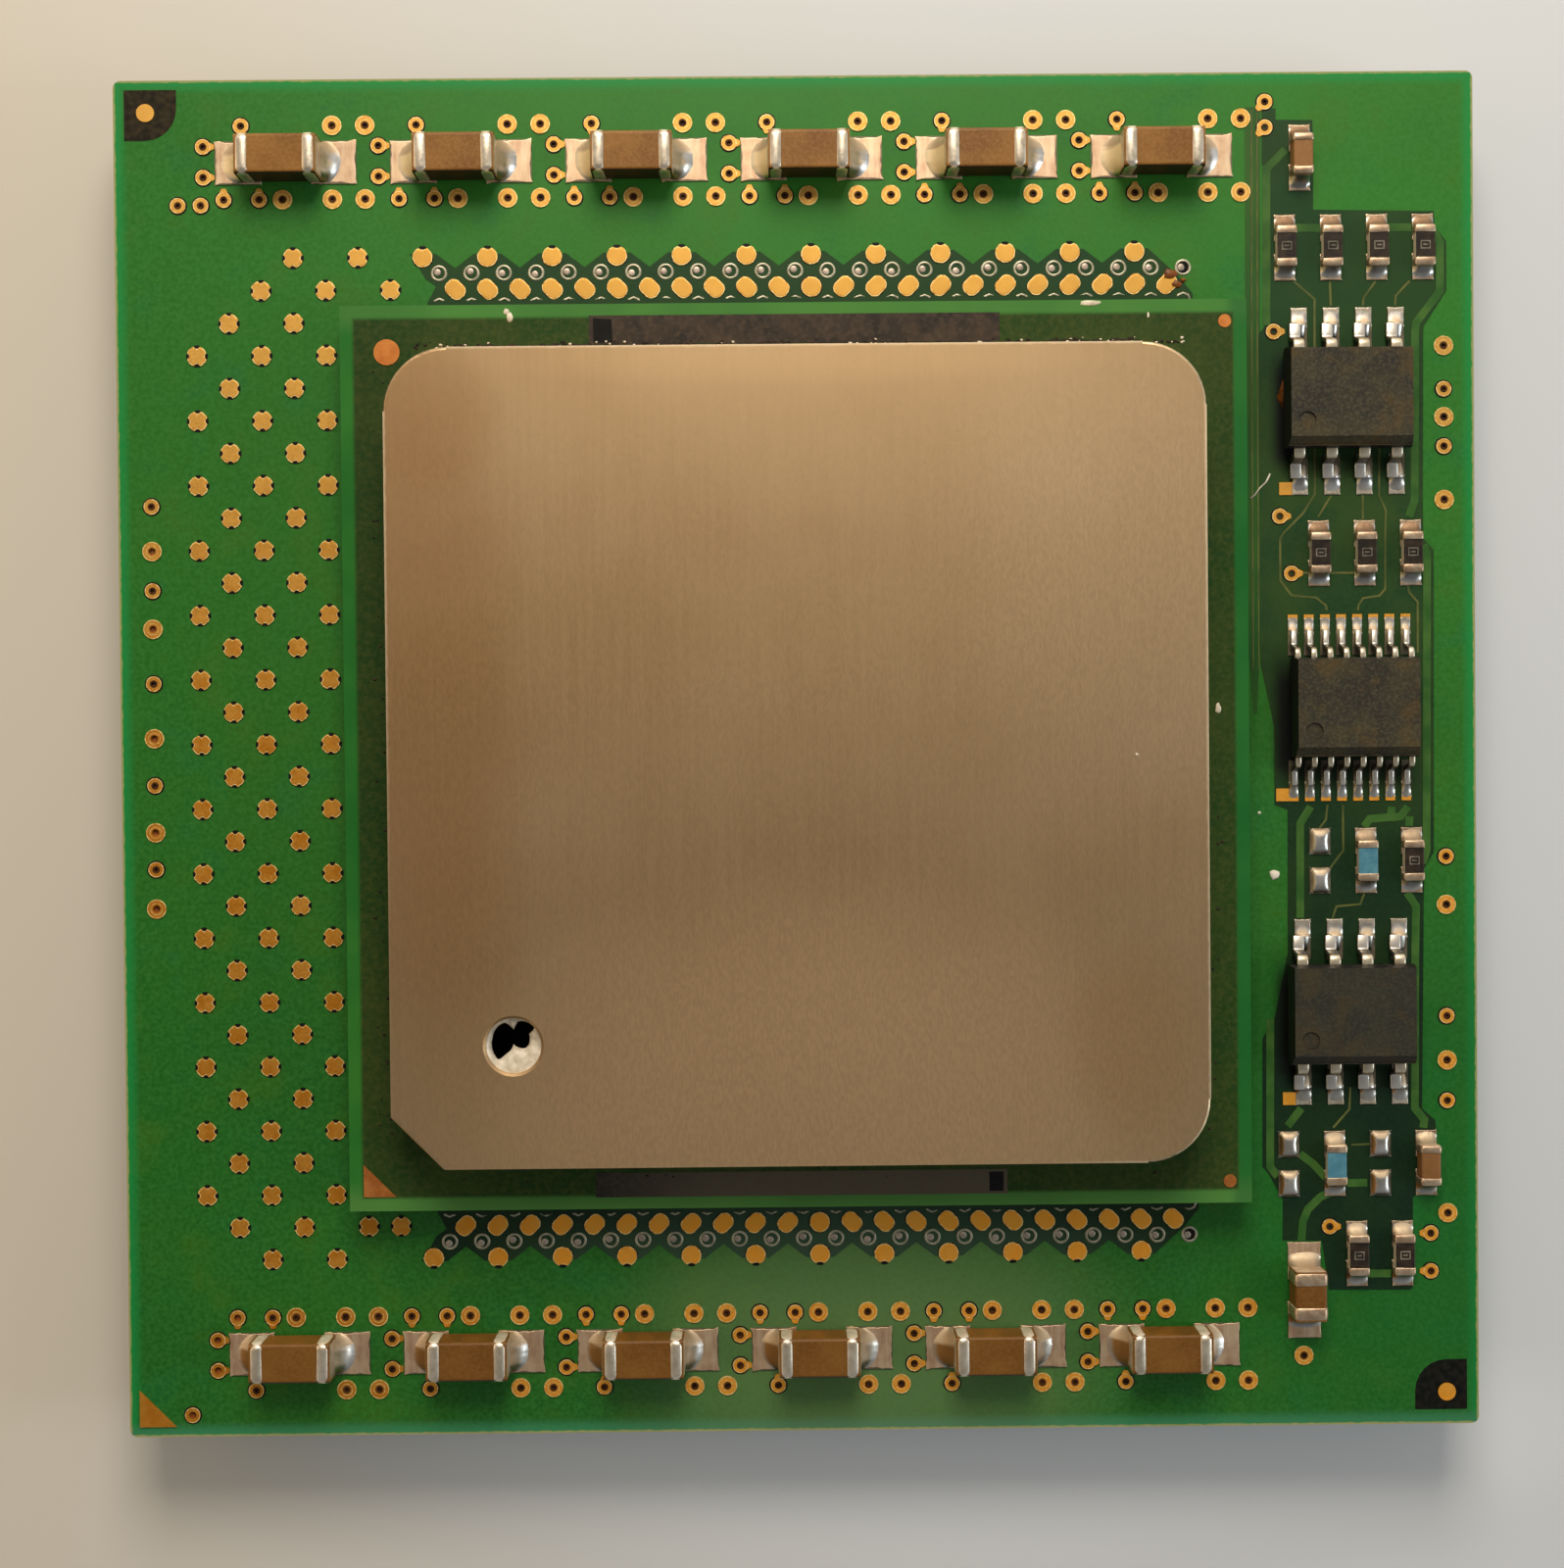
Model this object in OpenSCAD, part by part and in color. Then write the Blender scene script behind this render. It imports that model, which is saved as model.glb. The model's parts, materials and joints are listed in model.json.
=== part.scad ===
// Server processor: a flip-chip package under a metal heat spreader, soldered to a pin-grid interposer
// board that also carries its bulk capacitors, memory, sensor and regulator chips.
// Millimetres, +Z up. The pin tips stand on z = 0 and the board is centred on the Z axis.

/* [Interposer board] */
// Size of the board along X
board_w = 53.34; // [52:0.01:60]
// Size of the board along Y
board_d = 53.34; // [52:0.01:60]
// Thickness of the board
board_t = 2.0; // [1:0.05:3]
// Radius of the board's corners
board_corner_r = 0.3; // [0.1:0.05:1]
// Thickness of the copper lands on the board
land_t = 0.05; // [0.02:0.01:0.08]

/* [Contact pins] */
// Pitch of the pins, lands and solder joints
pitch = 1.27; // [1.2:0.01:1.3]
// Number of pin columns along X
pin_cols = 25; // [21:2:25]
// Number of pin rows along Y
pin_rows = 31; // [27:2:31]
// Columns and rows without pins in the middle
pin_void = 13; // [5:2:15]
// Length of a pin below the board
pin_len = 2.03; // [1.5:0.01:3]
// Diameter of a pin
pin_d = 0.305; // [0.25:0.005:0.35]
// Height of the solder fillet round a pin under the board
pin_solder_h = 0.2; // [0.1:0.01:0.3]
// Chamfer of the pin's tip
pin_tip_c = 0.08; // [0.02:0.01:0.1]
// Diameter of the tinned ring round a pin's hole
pin_ring_d = 0.64; // [0.6:0.01:0.75]
// Bore of the plated pin hole
pin_bore_d = 0.4; // [0.37:0.01:0.45]

/* [Lands and vias] */
// Diameter of a test land
land_d = 0.79; // [0.7:0.01:0.95]
// Radius of the four relief notches in a land
land_notch_r = 0.1; // [0.05:0.01:0.15]
// Length of an oblong land
oblong_l = 0.87; // [0.8:0.01:1]
// Width of an oblong land
oblong_w = 0.65; // [0.5:0.01:0.75]
// Ring of a via that joins the copper plane
via_plane_d = 0.75; // [0.6:0.01:0.85]
// Ring of a via that stands free of the plane
via_free_d = 0.6; // [0.5:0.01:0.7]
// Bore of a via
via_bore_d = 0.29; // [0.2:0.01:0.35]
// Thickness of the plating in a hole
plating_t = 0.035; // [0.02:0.005:0.05]
// Diameter of a fiducial mark
fiducial_d = 0.7; // [0.5:0.05:1]
// Distance of the fiducials from the board's edges
fiducial_inset = 1.27; // [1:0.01:1.6]
// Leg of the gold triangle at the board's corner
corner_mark_leg = 1.45; // [1:0.05:1.6]
// Distance of that triangle from the board's edges
corner_mark_inset = 0.4; // [0.2:0.05:0.5]

/* [Package] */
// Side of the square package substrate
substrate_w = 35; // [33:0.1:36]
// Thickness of the substrate
substrate_t = 1.14; // [0.8:0.01:1.5]
// Placement of the package along X
package_x = -0.1; // [-0.3:0.05:0.3]
// Height of the solder joints under the package
joint_h = 0.5; // [0.3:0.01:0.6]
// Diameter of a solder joint
joint_d = 0.72; // [0.6:0.01:0.85]
// Least distance from a joint's centre to the substrate's edge
joint_margin = 1.2; // [0.8:0.05:2]
// Side of the square silicon die
die_w = 12.2; // [8:0.1:16]
// Thickness of the die
die_t = 0.75; // [0.5:0.05:1]
// Height of the underfill between die and substrate
underfill_t = 0.08; // [0.05:0.01:0.12]
// Width of the underfill's skirt round the die
underfill_skirt = 0.6; // [0.3:0.1:1]
// Thickness of the thermal interface on the die
interface_t = 0.1; // [0.05:0.01:0.2]
// Thickness of the gold marks on the substrate
mark_t = 0.03; // [0.02:0.005:0.05]
// Diameter of the large gold dot on the substrate
mark_dot_d = 1.0; // [0.8:0.05:1.2]
// Diameter of the small gold dots on the substrate
mark_small_d = 0.5; // [0.3:0.05:0.7]
// Distance of the large gold dot from the substrate's edges
mark_dot_inset = 1.8; // [1.4:0.05:2]
// Distance of the small gold dots from the substrate's edges
mark_small_inset = 0.85; // [0.6:0.05:1]
// Leg of the gold triangle on the substrate
mark_triangle_leg = 1.25; // [0.8:0.05:1.5]
// Distance of that triangle from the substrate's edges
mark_triangle_inset = 0.55; // [0.3:0.05:0.8]

/* [Heat spreader] */
// Side of the square heat spreader
spreader_w = 31; // [29:0.1:31.5]
// Height of the heat spreader
spreader_h = 2.25; // [1.8:0.05:3]
// Radius of its three round corners
spreader_corner_r = 2.4; // [1.5:0.1:4]
// Leg of the chamfer at its keyed corner
spreader_chamfer = 1.95; // [1:0.05:3]
// Radius of its upper edge
spreader_edge_r = 0.12; // [0.05:0.01:0.3]
// Width of the lip that stands on the substrate
spreader_lip = 3.1; // [2:0.1:3.2]
// Radius of the corners of the hollow inside
hollow_corner_r = 1.5; // [0.5:0.1:3]
// Thickness of the sealant under the lip
sealant_t = 0.1; // [0.05:0.01:0.2]
// Distance from the lip's outer edge to the sealant
sealant_inset = 0.35; // [0.1:0.05:0.8]
// Diameter of the vent hole
vent_d = 2.1; // [1:0.1:2.2]
// Chamfer round the vent hole
vent_chamfer = 0.1; // [0.05:0.01:0.2]
// Distance of the vent hole from the lip's inner edges
vent_inset = 1.55; // [1.3:0.05:3]

/* [Bulk capacitors] */
// Capacitors in each of the two rows
bulk_count = 6; // [3:1:6]
// Pitch of the capacitors in a row
bulk_pitch = 6.87; // [6.7:0.01:7.2]
// Distance from the left edge of the board to the first capacitor
bulk_first_x = 6.74; // [6:0.01:8]
// Distance of the rows from the board's edges
bulk_inset = 3.25; // [3:0.05:3.6]
// Placement of the capacitors along X on their lands
bulk_x = -0.12; // [-0.2:0.02:0.2]
// Length of a capacitor
bulk_l = 3.2; // [2.8:0.1:3.5]
// Width of a capacitor
bulk_w = 1.6; // [1.2:0.1:1.7]
// Height of a capacitor
bulk_h = 1.6; // [0.8:0.1:1.8]
// Length of a capacitor's metal ends
bulk_end_l = 0.5; // [0.3:0.05:0.7]
// Gap between its two lands
bulk_land_gap = 2.0; // [1.5:0.1:2.2]
// Length of one land
bulk_land_l = 1.77; // [1.5:0.01:1.9]
// Width of a land
bulk_land_w = 1.68; // [1.5:0.01:1.8]
// Radius of the solder fillet at a capacitor's end
bulk_fillet_r = 0.65; // [0.3:0.05:0.8]

/* [Chip column] */
// Distance from the right edge of the board to the middle of the large chips
column_x = 4.98; // [4.5:0.01:5.5]
// Clear gap between the bodies of neighbouring small parts
small_gap = 0.99; // [0.8:0.01:1.05]
// Length of a small part
small_l = 1.6; // [1.4:0.05:1.8]
// Width of a small part
small_w = 0.82; // [0.6:0.02:0.9]
// Height of a small resistor
resistor_h = 0.45; // [0.3:0.05:0.6]
// Height of a small capacitor
filter_h = 0.8; // [0.4:0.05:0.9]
// Length of a small part's metal ends
small_end_l = 0.3; // [0.2:0.05:0.4]
// Thickness of the metal on the ends of all two-ended parts
end_t = 0.03; // [0.02:0.005:0.05]
// Gap between the two lands of a small part
small_land_gap = 0.52; // [0.4:0.02:0.8]
// Length of one small land
small_land_l = 1.03; // [0.9:0.01:1.15]
// Radius of the solder fillet at a small part's end
small_fillet_r = 0.3; // [0.1:0.05:0.4]
// Length of the input capacitor
input_l = 2.0; // [1.8:0.05:2.2]
// Width of the input capacitor
input_w = 1.3; // [1:0.05:1.4]
// Height of the input capacitor
input_h = 1.3; // [0.8:0.05:1.5]
// Length of the input capacitor's metal ends
input_end_l = 0.55; // [0.3:0.05:0.65]
// Radius of the solder fillet at the input capacitor's ends
input_fillet_r = 0.5; // [0.3:0.05:0.6]
// Length of one land of the input capacitor
input_land_l = 1.45; // [1.2:0.05:1.6]
// Gap between the lands of the input capacitor
input_land_gap = 0.9; // [0.7:0.05:1]
// Height of the solder left on an empty land
bare_solder_h = 0.18; // [0.1:0.01:0.3]

/* [Large chips] */
// Length of a chip body along X
chip_l = 4.9; // [4.5:0.1:5.2]
// Width of a chip body along Y
chip_w = 3.9; // [3.5:0.1:4.2]
// Height of a chip body
chip_h = 1.45; // [1:0.05:1.6]
// Gap between a chip body and its lands
chip_standoff = 0.12; // [0.05:0.01:0.2]
// Draft of the moulded sides in degrees
chip_draft = 8; // [3:1:12]
// Chamfer along the first-lead side of a chip
chip_bevel = 0.3; // [0.1:0.05:0.4]
// Diameter of the dimple beside the first lead
dimple_d = 0.7; // [0.3:0.05:0.9]
// Depth of that dimple
dimple_depth = 0.08; // [0.03:0.01:0.15]
// Distance over the tips of opposite leads
lead_span = 6.1; // [5.9:0.05:6.4]
// Thickness of a lead
lead_t = 0.2; // [0.12:0.01:0.25]
// Radius of a lead's bends at mid-thickness
lead_bend_r = 0.2; // [0.15:0.01:0.22]
// Slope of a lead's riser in degrees
lead_slope = 80; // [70:1:85]
// Straight run of a lead beside the body
lead_shoulder = 0.14; // [0.05:0.01:0.2]
// Width of the leads of the memory and the regulator
wide_lead_w = 0.46; // [0.35:0.01:0.5]
// Pitch of those leads
wide_lead_pitch = 1.27; // [1.2:0.01:1.3]
// Width of the lands of those leads
wide_land_w = 0.63; // [0.55:0.01:0.75]
// Placement of the memory and the regulator along X on their lands
wide_chip_x = -0.2; // [-0.25:0.05:0.25]
// Width of the leads of the sensor
fine_lead_w = 0.25; // [0.2:0.01:0.3]
// Pitch of those leads
fine_lead_pitch = 0.635; // [0.6:0.005:0.65]
// Width of the lands of those leads
fine_land_w = 0.38; // [0.32:0.01:0.45]
// Length of a land from its inner to its outer end
lead_land_l = 1.6; // [1.4:0.05:1.8]
// How far a land runs out past the tip of its lead
lead_land_toe = 0.62; // [0.4:0.02:0.8]
// Side of the gold square beside a first lead
first_mark_w = 0.5; // [0.3:0.05:0.6]

/* [Hidden] */
$fn = 64;
// Overlap of a cutting tool past the face that it cuts
cut = 0.5;
board_bottom_z = pin_len;
board_top_z = board_bottom_z + board_t;
land_top_z = board_top_z + land_t;
substrate_bottom_z = board_top_z + joint_h;
substrate_top_z = substrate_bottom_z + substrate_t;
lip_z = substrate_top_z + sealant_t;
die_z = substrate_top_z + underfill_t;
interface_z = die_z + die_t;
hollow_top_z = interface_z + interface_t;
spreader_top_z = lip_z + spreader_h;

// Lattice of lands and joints: half a pitch from the pins, counted in pitches from the board's centre
land_first_col = -18.5;
land_first_row = 15.5;
function land_xy(col, row) = [land_first_col + col, land_first_row - row] * pitch;
// First and last row of the lands in the columns left of the package
field_rows = [[3, 29], [2, 30], [1, 31], [0, 30], [1, 31]];
field_lands = concat(
    [for (c = [0 : len(field_rows) - 1], r = [field_rows[c][0] : 2 : field_rows[c][1]]) land_xy(c, r)],
    [land_xy(5, 0), land_xy(6, 1), land_xy(5, 30), land_xy(6, 30)]);
// Lands above and below the package: a sparse outer row and a full inner row of mostly oblong ones
band_last_col = 30;
band_mirror_col = 19;
round_lands = concat(
    [for (c = [7 : 2 : band_last_col], r = [0, 31]) land_xy(c, r)],
    [for (r = [1, 30]) land_xy(band_mirror_col, r)]);
oblong_cols = [for (c = [8 : band_last_col]) if (c != band_mirror_col) c];

// Pins, without the middle field and the three key places at the left
pin_key_rows = [0, 29, 30];
pin_col_mid = (pin_cols - 1) / 2;
pin_row_mid = (pin_rows - 1) / 2;
void_half = (pin_void - 1) / 2;
function pin_in_void(i, j) = abs(i - pin_col_mid) <= void_half && abs(j - pin_row_mid) <= void_half;
function pin_is_key(i, j) = i == 0 && len(search(j, pin_key_rows)) > 0;
pin_places = [for (i = [0 : pin_cols - 1], j = [0 : pin_rows - 1])
    if (!pin_in_void(i, j) && !pin_is_key(i, j)) [i - pin_col_mid, pin_row_mid - j] * pitch];
north_places = [for (p = pin_places) if (p[1] > -pitch / 4) p];
south_places = [for (p = pin_places) if (p[1] <= -pitch / 4) p];
pin_fields = [north_places, south_places];

// Bulk capacitors: the upper row first, then the lower row mirrored
bulk_total = 2 * bulk_count;
function bulk_side(i) = i < bulk_count ? 1 : -1;
function bulk_xy(i) = [-board_w / 2 + bulk_first_x + (i % bulk_count) * bulk_pitch,
    bulk_side(i) * (board_d / 2 - bulk_inset)];
bulk_land_span = bulk_land_gap + 2 * bulk_land_l;
// Vias round one bulk capacitor, as gaps from its lands: x from the middle, y towards the board's edge
via_row_y = bulk_land_w / 2 + 0.6;
via_left_x = -bulk_land_span / 2 - 0.46;
bulk_free_vias = [[-2.44, -via_row_y], [-1.05, -via_row_y], [-1.74, via_row_y],
    [via_left_x, 0.64], [via_left_x, -0.56]];
bulk_plane_vias = [[-0.13, -via_row_y], [1.82, -via_row_y], [3.11, -via_row_y],
    [1.83, via_row_y], [3.12, via_row_y]];
function round_bulk(places) = [for (i = [0 : bulk_total - 1], p = places)
    bulk_xy(i) + [p[0], p[1] * bulk_side(i)]];
// Vias along the left and right edges and among the chips
edge_via_left_x = -board_w / 2 + 1.32;
edge_via_right_x = board_w / 2 - 1.2;
column_mid_x = board_w / 2 - column_x;
free_vias = concat(round_bulk(bulk_free_vias),
    [for (y = [10, 6.7, 3.05, -0.95, -4.25]) [edge_via_left_x, y]],
    [for (y = [14.2, 11.95, -4.2, -10.5, -13.85]) [edge_via_right_x, y]],
    [for (p = [[-3.2, 25.5], [-3.2, 24.5], [-2.9, 16.5], [-2.7, 9.25], [-2.25, 7], [-0.9, -18.8],
        [3.1, -19.1], [3.1, -20.6]]) [column_mid_x + p[0], p[1]]],
    [for (x = [2.5, 3.4]) [-board_w / 2 + x, board_d / 2 - 4.9]],
    [[-board_w / 2 + 2.48, -board_d / 2 + 0.86]]);
plane_vias = concat(round_bulk(bulk_plane_vias),
    [for (y = [8.25, 5.2, 0.9, -2.8, -5.8]) [edge_via_left_x, y]],
    [for (y = [15.9, 13.1, 9.85, -6.1, -12.25, -18.3]) [edge_via_right_x, y]],
    [[column_mid_x - 1.95, -23.9]]);

// Small two-ended parts in the column: their rows run along X, and each part stands along Y
small_pitch = small_w + small_gap;
function in_row(first_x, y, n) = [column_mid_x + first_x + n * small_pitch, y];
resistor_places = concat(
    [for (n = [0 : 3]) in_row(-2.45, 19.78, n)],
    [for (n = [0 : 2]) in_row(-1.18, 7.78, n)],
    [in_row(-1.2, -4.33, 2)],
    [for (n = [0 : 1]) in_row(0.17, -19.88, n)]);
film_places = [in_row(-1.2, -4.33, 1), in_row(-2.5, -16.3, 1)];
filter_places = [[column_mid_x - 1.85, 23.3], in_row(-2.5, -16.3, 3)];
bare_places = [in_row(-1.2, -4.33, 0), in_row(-2.5, -16.3, 0), in_row(-2.5, -16.3, 2)];
input_xy = [column_mid_x - 1.92, -21.3];
small_places = concat(resistor_places, film_places, filter_places);
small_land_span = small_land_gap + 2 * small_land_l;
input_land_span = input_land_gap + 2 * input_land_l;

// Large chips: middle, leads on a side, lead pitch, lead width, land width and placement on the lands
memory_y = 13.75;
sensor_y = 1.7;
regulator_y = -10.3;
wide_leads = 4;
fine_leads = 8;
chips = [[memory_y, wide_leads, wide_lead_pitch, wide_lead_w, wide_land_w, wide_chip_x],
    [sensor_y, fine_leads, fine_lead_pitch, fine_lead_w, fine_land_w, 0],
    [regulator_y, wide_leads, wide_lead_pitch, wide_lead_w, wide_land_w, wide_chip_x]];
function lead_x(chip, n) = column_mid_x + (n - (chip[1] - 1) / 2) * chip[2];
chip_bottom_z = land_top_z + chip_standoff;
chip_mid_z = chip_bottom_z + chip_h / 2;
foot_z = land_top_z + lead_t / 2;
lead_reach = (lead_span - chip_w) / 2;
lead_riser = (chip_mid_z - foot_z - 2 * lead_bend_r * (1 - cos(lead_slope))) / sin(lead_slope);
lead_toe_bend = lead_shoulder + 2 * lead_bend_r * sin(lead_slope) + lead_riser * cos(lead_slope);
lead_land_end = lead_span / 2 + lead_land_toe;
bend_steps = 6;

pin_names = ["north_pins", "south_pins"];
barrel_names = ["north_pin_barrels", "south_pin_barrels"];
pin_solder_names = ["north_pin_solder", "south_pin_solder"];
bulk_names = [for (i = [1 : bulk_total]) str("bulk_capacitor_", i)];
resistor_names = [for (i = [1 : len(resistor_places)]) str("chip_resistor_", i)];
film_names = [for (i = [1 : len(film_places)]) str("film_resistor_", i)];
filter_names = [for (i = [1 : len(filter_places)]) str("filter_capacitor_", i)];
chip_names = ["memory_chip", "sensor_chip", "regulator_chip"];
lead_names = ["memory_leads", "sensor_leads", "regulator_leads"];

// Flat rectangle with round corners, centred
module round_rect(l, w, r) {
    square([l - 2 * r, w], center = true);
    square([l, w - 2 * r], center = true);
    for (x = [-1, 1], y = [-1, 1])
        translate([x * (l / 2 - r), y * (w / 2 - r)]) circle(r);
}

// Block on z = 0 with its long edges and its corners rounded
module soft_block(l, w, h, r) {
    intersection() {
        linear_extrude(h) round_rect(l, w, r);
        translate([-l / 2, 0, h / 2]) rotate([90, 0, 90]) linear_extrude(l) round_rect(w, h, r);
        translate([0, w / 2, h / 2]) rotate([90, 0, 0]) linear_extrude(w) round_rect(l, h, r);
    }
}

// Right triangle with its corner at the origin and its legs along +X and +Y
module leg_triangle(leg) {
    polygon([[0, 0], [leg, 0], [0, leg]]);
}

// Plated hole through the board with a ring on its upper face
module plated_hole(ring_d, bore_d) {
    ring_r = ring_d / 2;
    bore_r = bore_d / 2;
    barrel_r = bore_r + plating_t;
    rotate_extrude() polygon([[bore_r, board_bottom_z], [barrel_r, board_bottom_z], [barrel_r, board_top_z],
        [ring_r, board_top_z], [ring_r, land_top_z], [bore_r, land_top_z]]);
}

module board_holes(places, bore_d) {
    for (p = places)
        translate([p[0], p[1], board_bottom_z - cut])
            cylinder(d = bore_d + 2 * plating_t, h = board_t + 2 * cut);
}

module interposer_board() {
    color("forestgreen") difference() {
        translate([0, 0, board_bottom_z]) linear_extrude(board_t)
            round_rect(board_w, board_d, board_corner_r);
        board_holes(concat(free_vias, plane_vias), via_bore_d);
        board_holes(pin_places, pin_bore_d);
    }
}

module notched_land() {
    difference() {
        circle(d = land_d);
        for (a = [0 : 90 : 270]) rotate(a) translate([land_d / 2, 0]) circle(land_notch_r);
    }
}

module oblong_land(lean) {
    half_run = (oblong_l - oblong_w) / 2;
    rotate(lean) {
        square([2 * half_run, oblong_w], center = true);
        for (s = [-1, 1]) translate([s * half_run, 0]) circle(d = oblong_w);
    }
}

module test_lands() {
    color("goldenrod") translate([0, 0, board_top_z]) {
        for (p = field_lands) translate(p) linear_extrude(land_t) notched_land();
        for (p = round_lands) translate(p) cylinder(d = land_d, h = land_t);
        for (c = oblong_cols, r = [1, 30]) {
            lean = (c < band_mirror_col) == (r == 1) ? -45 : 45;
            translate(land_xy(c, r)) linear_extrude(land_t) oblong_land(lean);
        }
    }
}

module via_barrels() {
    color("goldenrod") {
        for (p = free_vias) translate(p) plated_hole(via_free_d, via_bore_d);
        for (p = plane_vias) translate(p) plated_hole(via_plane_d, via_bore_d);
    }
}

module pin_barrels(places) {
    color("silver") for (p = places) translate(p) plated_hole(pin_ring_d, pin_bore_d);
}

// Pins on z = 0: a chamfered tip and a shank that runs up through its plated hole
module pins(places) {
    r = pin_d / 2;
    color("gold") for (p = places) translate(p) rotate_extrude()
        polygon([[0, 0], [r - pin_tip_c, 0], [r, pin_tip_c], [r, board_top_z], [0, board_top_z]]);
}

// Solder fillets that join the pins to the feet of their plated holes
module pin_solder(places) {
    r = pin_d / 2;
    color("lightgray") for (p = places) translate(p) rotate_extrude()
        polygon([[r, board_bottom_z - pin_solder_h], [pin_ring_d / 2, board_bottom_z], [r, board_bottom_z]]);
}

// Two lands in line along X
module land_pair(l, w, gap) {
    for (s = [-1, 1]) translate([s * (gap + l) / 2, 0]) linear_extrude(land_t) square([l, w], center = true);
}

module small_land_pair() {
    rotate(90) land_pair(small_land_l, small_w, small_land_gap);
}

module component_lands() {
    color("lightsteelblue") translate([0, 0, board_top_z]) {
        for (i = [0 : bulk_total - 1]) translate(bulk_xy(i))
            land_pair(bulk_land_l, bulk_land_w, bulk_land_gap);
        for (p = concat(small_places, bare_places)) translate(p) small_land_pair();
        translate(input_xy) rotate(90) land_pair(input_land_l, input_w, input_land_gap);
        for (chip = chips, n = [0 : chip[1] - 1], s = [-1, 1])
            translate([lead_x(chip, n), chip[0] + s * (lead_land_end - lead_land_l / 2)])
                linear_extrude(land_t) square([chip[4], lead_land_l], center = true);
    }
}

// Gold square beside the outer end of each chip's first land
module first_lead_marks() {
    color("goldenrod") for (chip = chips)
        translate([lead_x(chip, 0) - chip[4] / 2 - first_mark_w, chip[0] - lead_land_end, board_top_z])
            cube([first_mark_w, first_mark_w, land_t]);
}

module board_marks() {
    x = board_w / 2 - fiducial_inset;
    y = board_d / 2 - fiducial_inset;
    color("goldenrod") translate([0, 0, board_top_z]) {
        for (s = [-1, 1]) translate([s * x, -s * y]) cylinder(d = fiducial_d, h = land_t);
        translate([corner_mark_inset - board_w / 2, corner_mark_inset - board_d / 2])
            linear_extrude(land_t) leg_triangle(corner_mark_leg);
    }
}

module package_substrate() {
    color("darkgreen") translate([package_x, 0, substrate_bottom_z])
        linear_extrude(substrate_t) square(substrate_w, center = true);
}

// Marks outside the heat spreader: large dot, two small dots and the triangle at the keyed corner
module substrate_marks() {
    half = substrate_w / 2;
    dot = half - mark_dot_inset;
    small = half - mark_small_inset;
    keyed = half - mark_triangle_inset;
    color("goldenrod") translate([package_x, 0, substrate_top_z]) {
        translate([-dot, dot]) cylinder(d = mark_dot_d, h = mark_t);
        for (s = [-1, 1]) translate([small, s * small]) cylinder(d = mark_small_d, h = mark_t);
        translate([-keyed, -keyed]) linear_extrude(mark_t) leg_triangle(mark_triangle_leg);
    }
}

// Joints on the lattice between the pins
module solder_joints() {
    half = floor((substrate_w / 2 - joint_margin) / pitch - 0.5) + 0.5;
    color("lightgray") for (x = [-half : half], y = [-half : half])
        translate([x * pitch, y * pitch, board_top_z]) cylinder(d = joint_d, h = joint_h);
}

module silicon_die() {
    color("dimgray") translate([package_x, 0, die_z]) linear_extrude(die_t) square(die_w, center = true);
}

module die_underfill() {
    skirt_w = die_w + 2 * underfill_skirt;
    color("darkslategray") translate([package_x, 0, substrate_top_z])
        linear_extrude(underfill_t) round_rect(skirt_w, skirt_w, underfill_skirt);
}

module thermal_interface() {
    color("lightgray") translate([package_x, 0, interface_z])
        linear_extrude(interface_t) square(die_w, center = true);
}

// Outline of the spreader with its three round corners and its keyed corner at the lower left
module spreader_outline(w, r, chamfer) {
    difference() {
        round_rect(w, w, r);
        translate([-w / 2, -w / 2]) square(r);
    }
    translate([-w / 2, -w / 2]) polygon([[chamfer, 0], [r, 0], [r, r], [0, r], [0, chamfer]]);
}

module spreader_sealant() {
    outer_w = spreader_w - 2 * sealant_inset;
    hollow_w = spreader_w - 2 * spreader_lip;
    color("dimgray") translate([package_x, 0, substrate_top_z]) linear_extrude(sealant_t) difference() {
        spreader_outline(outer_w, spreader_corner_r, spreader_chamfer);
        round_rect(hollow_w, hollow_w, hollow_corner_r);
    }
}

// Half of an upright section with a rounded upper edge: from the axis out to x = l, from z = 0 to z = h
module edge_section(l, h, r) {
    square([l - r, h]);
    square([l, h - r]);
    translate([l - r, h - r]) circle(r);
}

// Wall of full height with a rounded upper edge on its +X side, running along Y
module edge_wall(l, run, h, r) {
    translate([0, run / 2, 0]) rotate([90, 0, 0]) linear_extrude(run) edge_section(l, h, r);
}

// What a round corner takes off a square one
module corner_waste(r, h, edge_r) {
    difference() {
        translate([0, 0, -cut]) cube([r + cut, r + cut, h + 2 * cut]);
        translate([0, 0, -cut]) rotate_extrude() edge_section(r, h + cut, edge_r);
    }
}

module spreader_body() {
    half = spreader_w / 2;
    inner = half - spreader_corner_r;
    key_reach = half * sqrt(2) - spreader_chamfer / sqrt(2);
    difference() {
        intersection() {
            for (a = [0, 90]) two_edge_slab(a, half);
            rotate(225) union() {
                edge_wall(key_reach, 4 * half, spreader_h, spreader_edge_r);
                mirror([1, 0, 0]) edge_wall(2 * half, 4 * half, spreader_h, spreader_edge_r);
            }
        }
        for (a = [0, 90, 270]) rotate(a) translate([inner, inner, 0])
            corner_waste(spreader_corner_r, spreader_h, spreader_edge_r);
    }
}

// Slab with rounded upper edges on two opposite sides
module two_edge_slab(turn, half) {
    rotate(turn) for (s = [0, 1])
        mirror([s, 0, 0]) edge_wall(half, 2 * half, spreader_h, spreader_edge_r);
}

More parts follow.
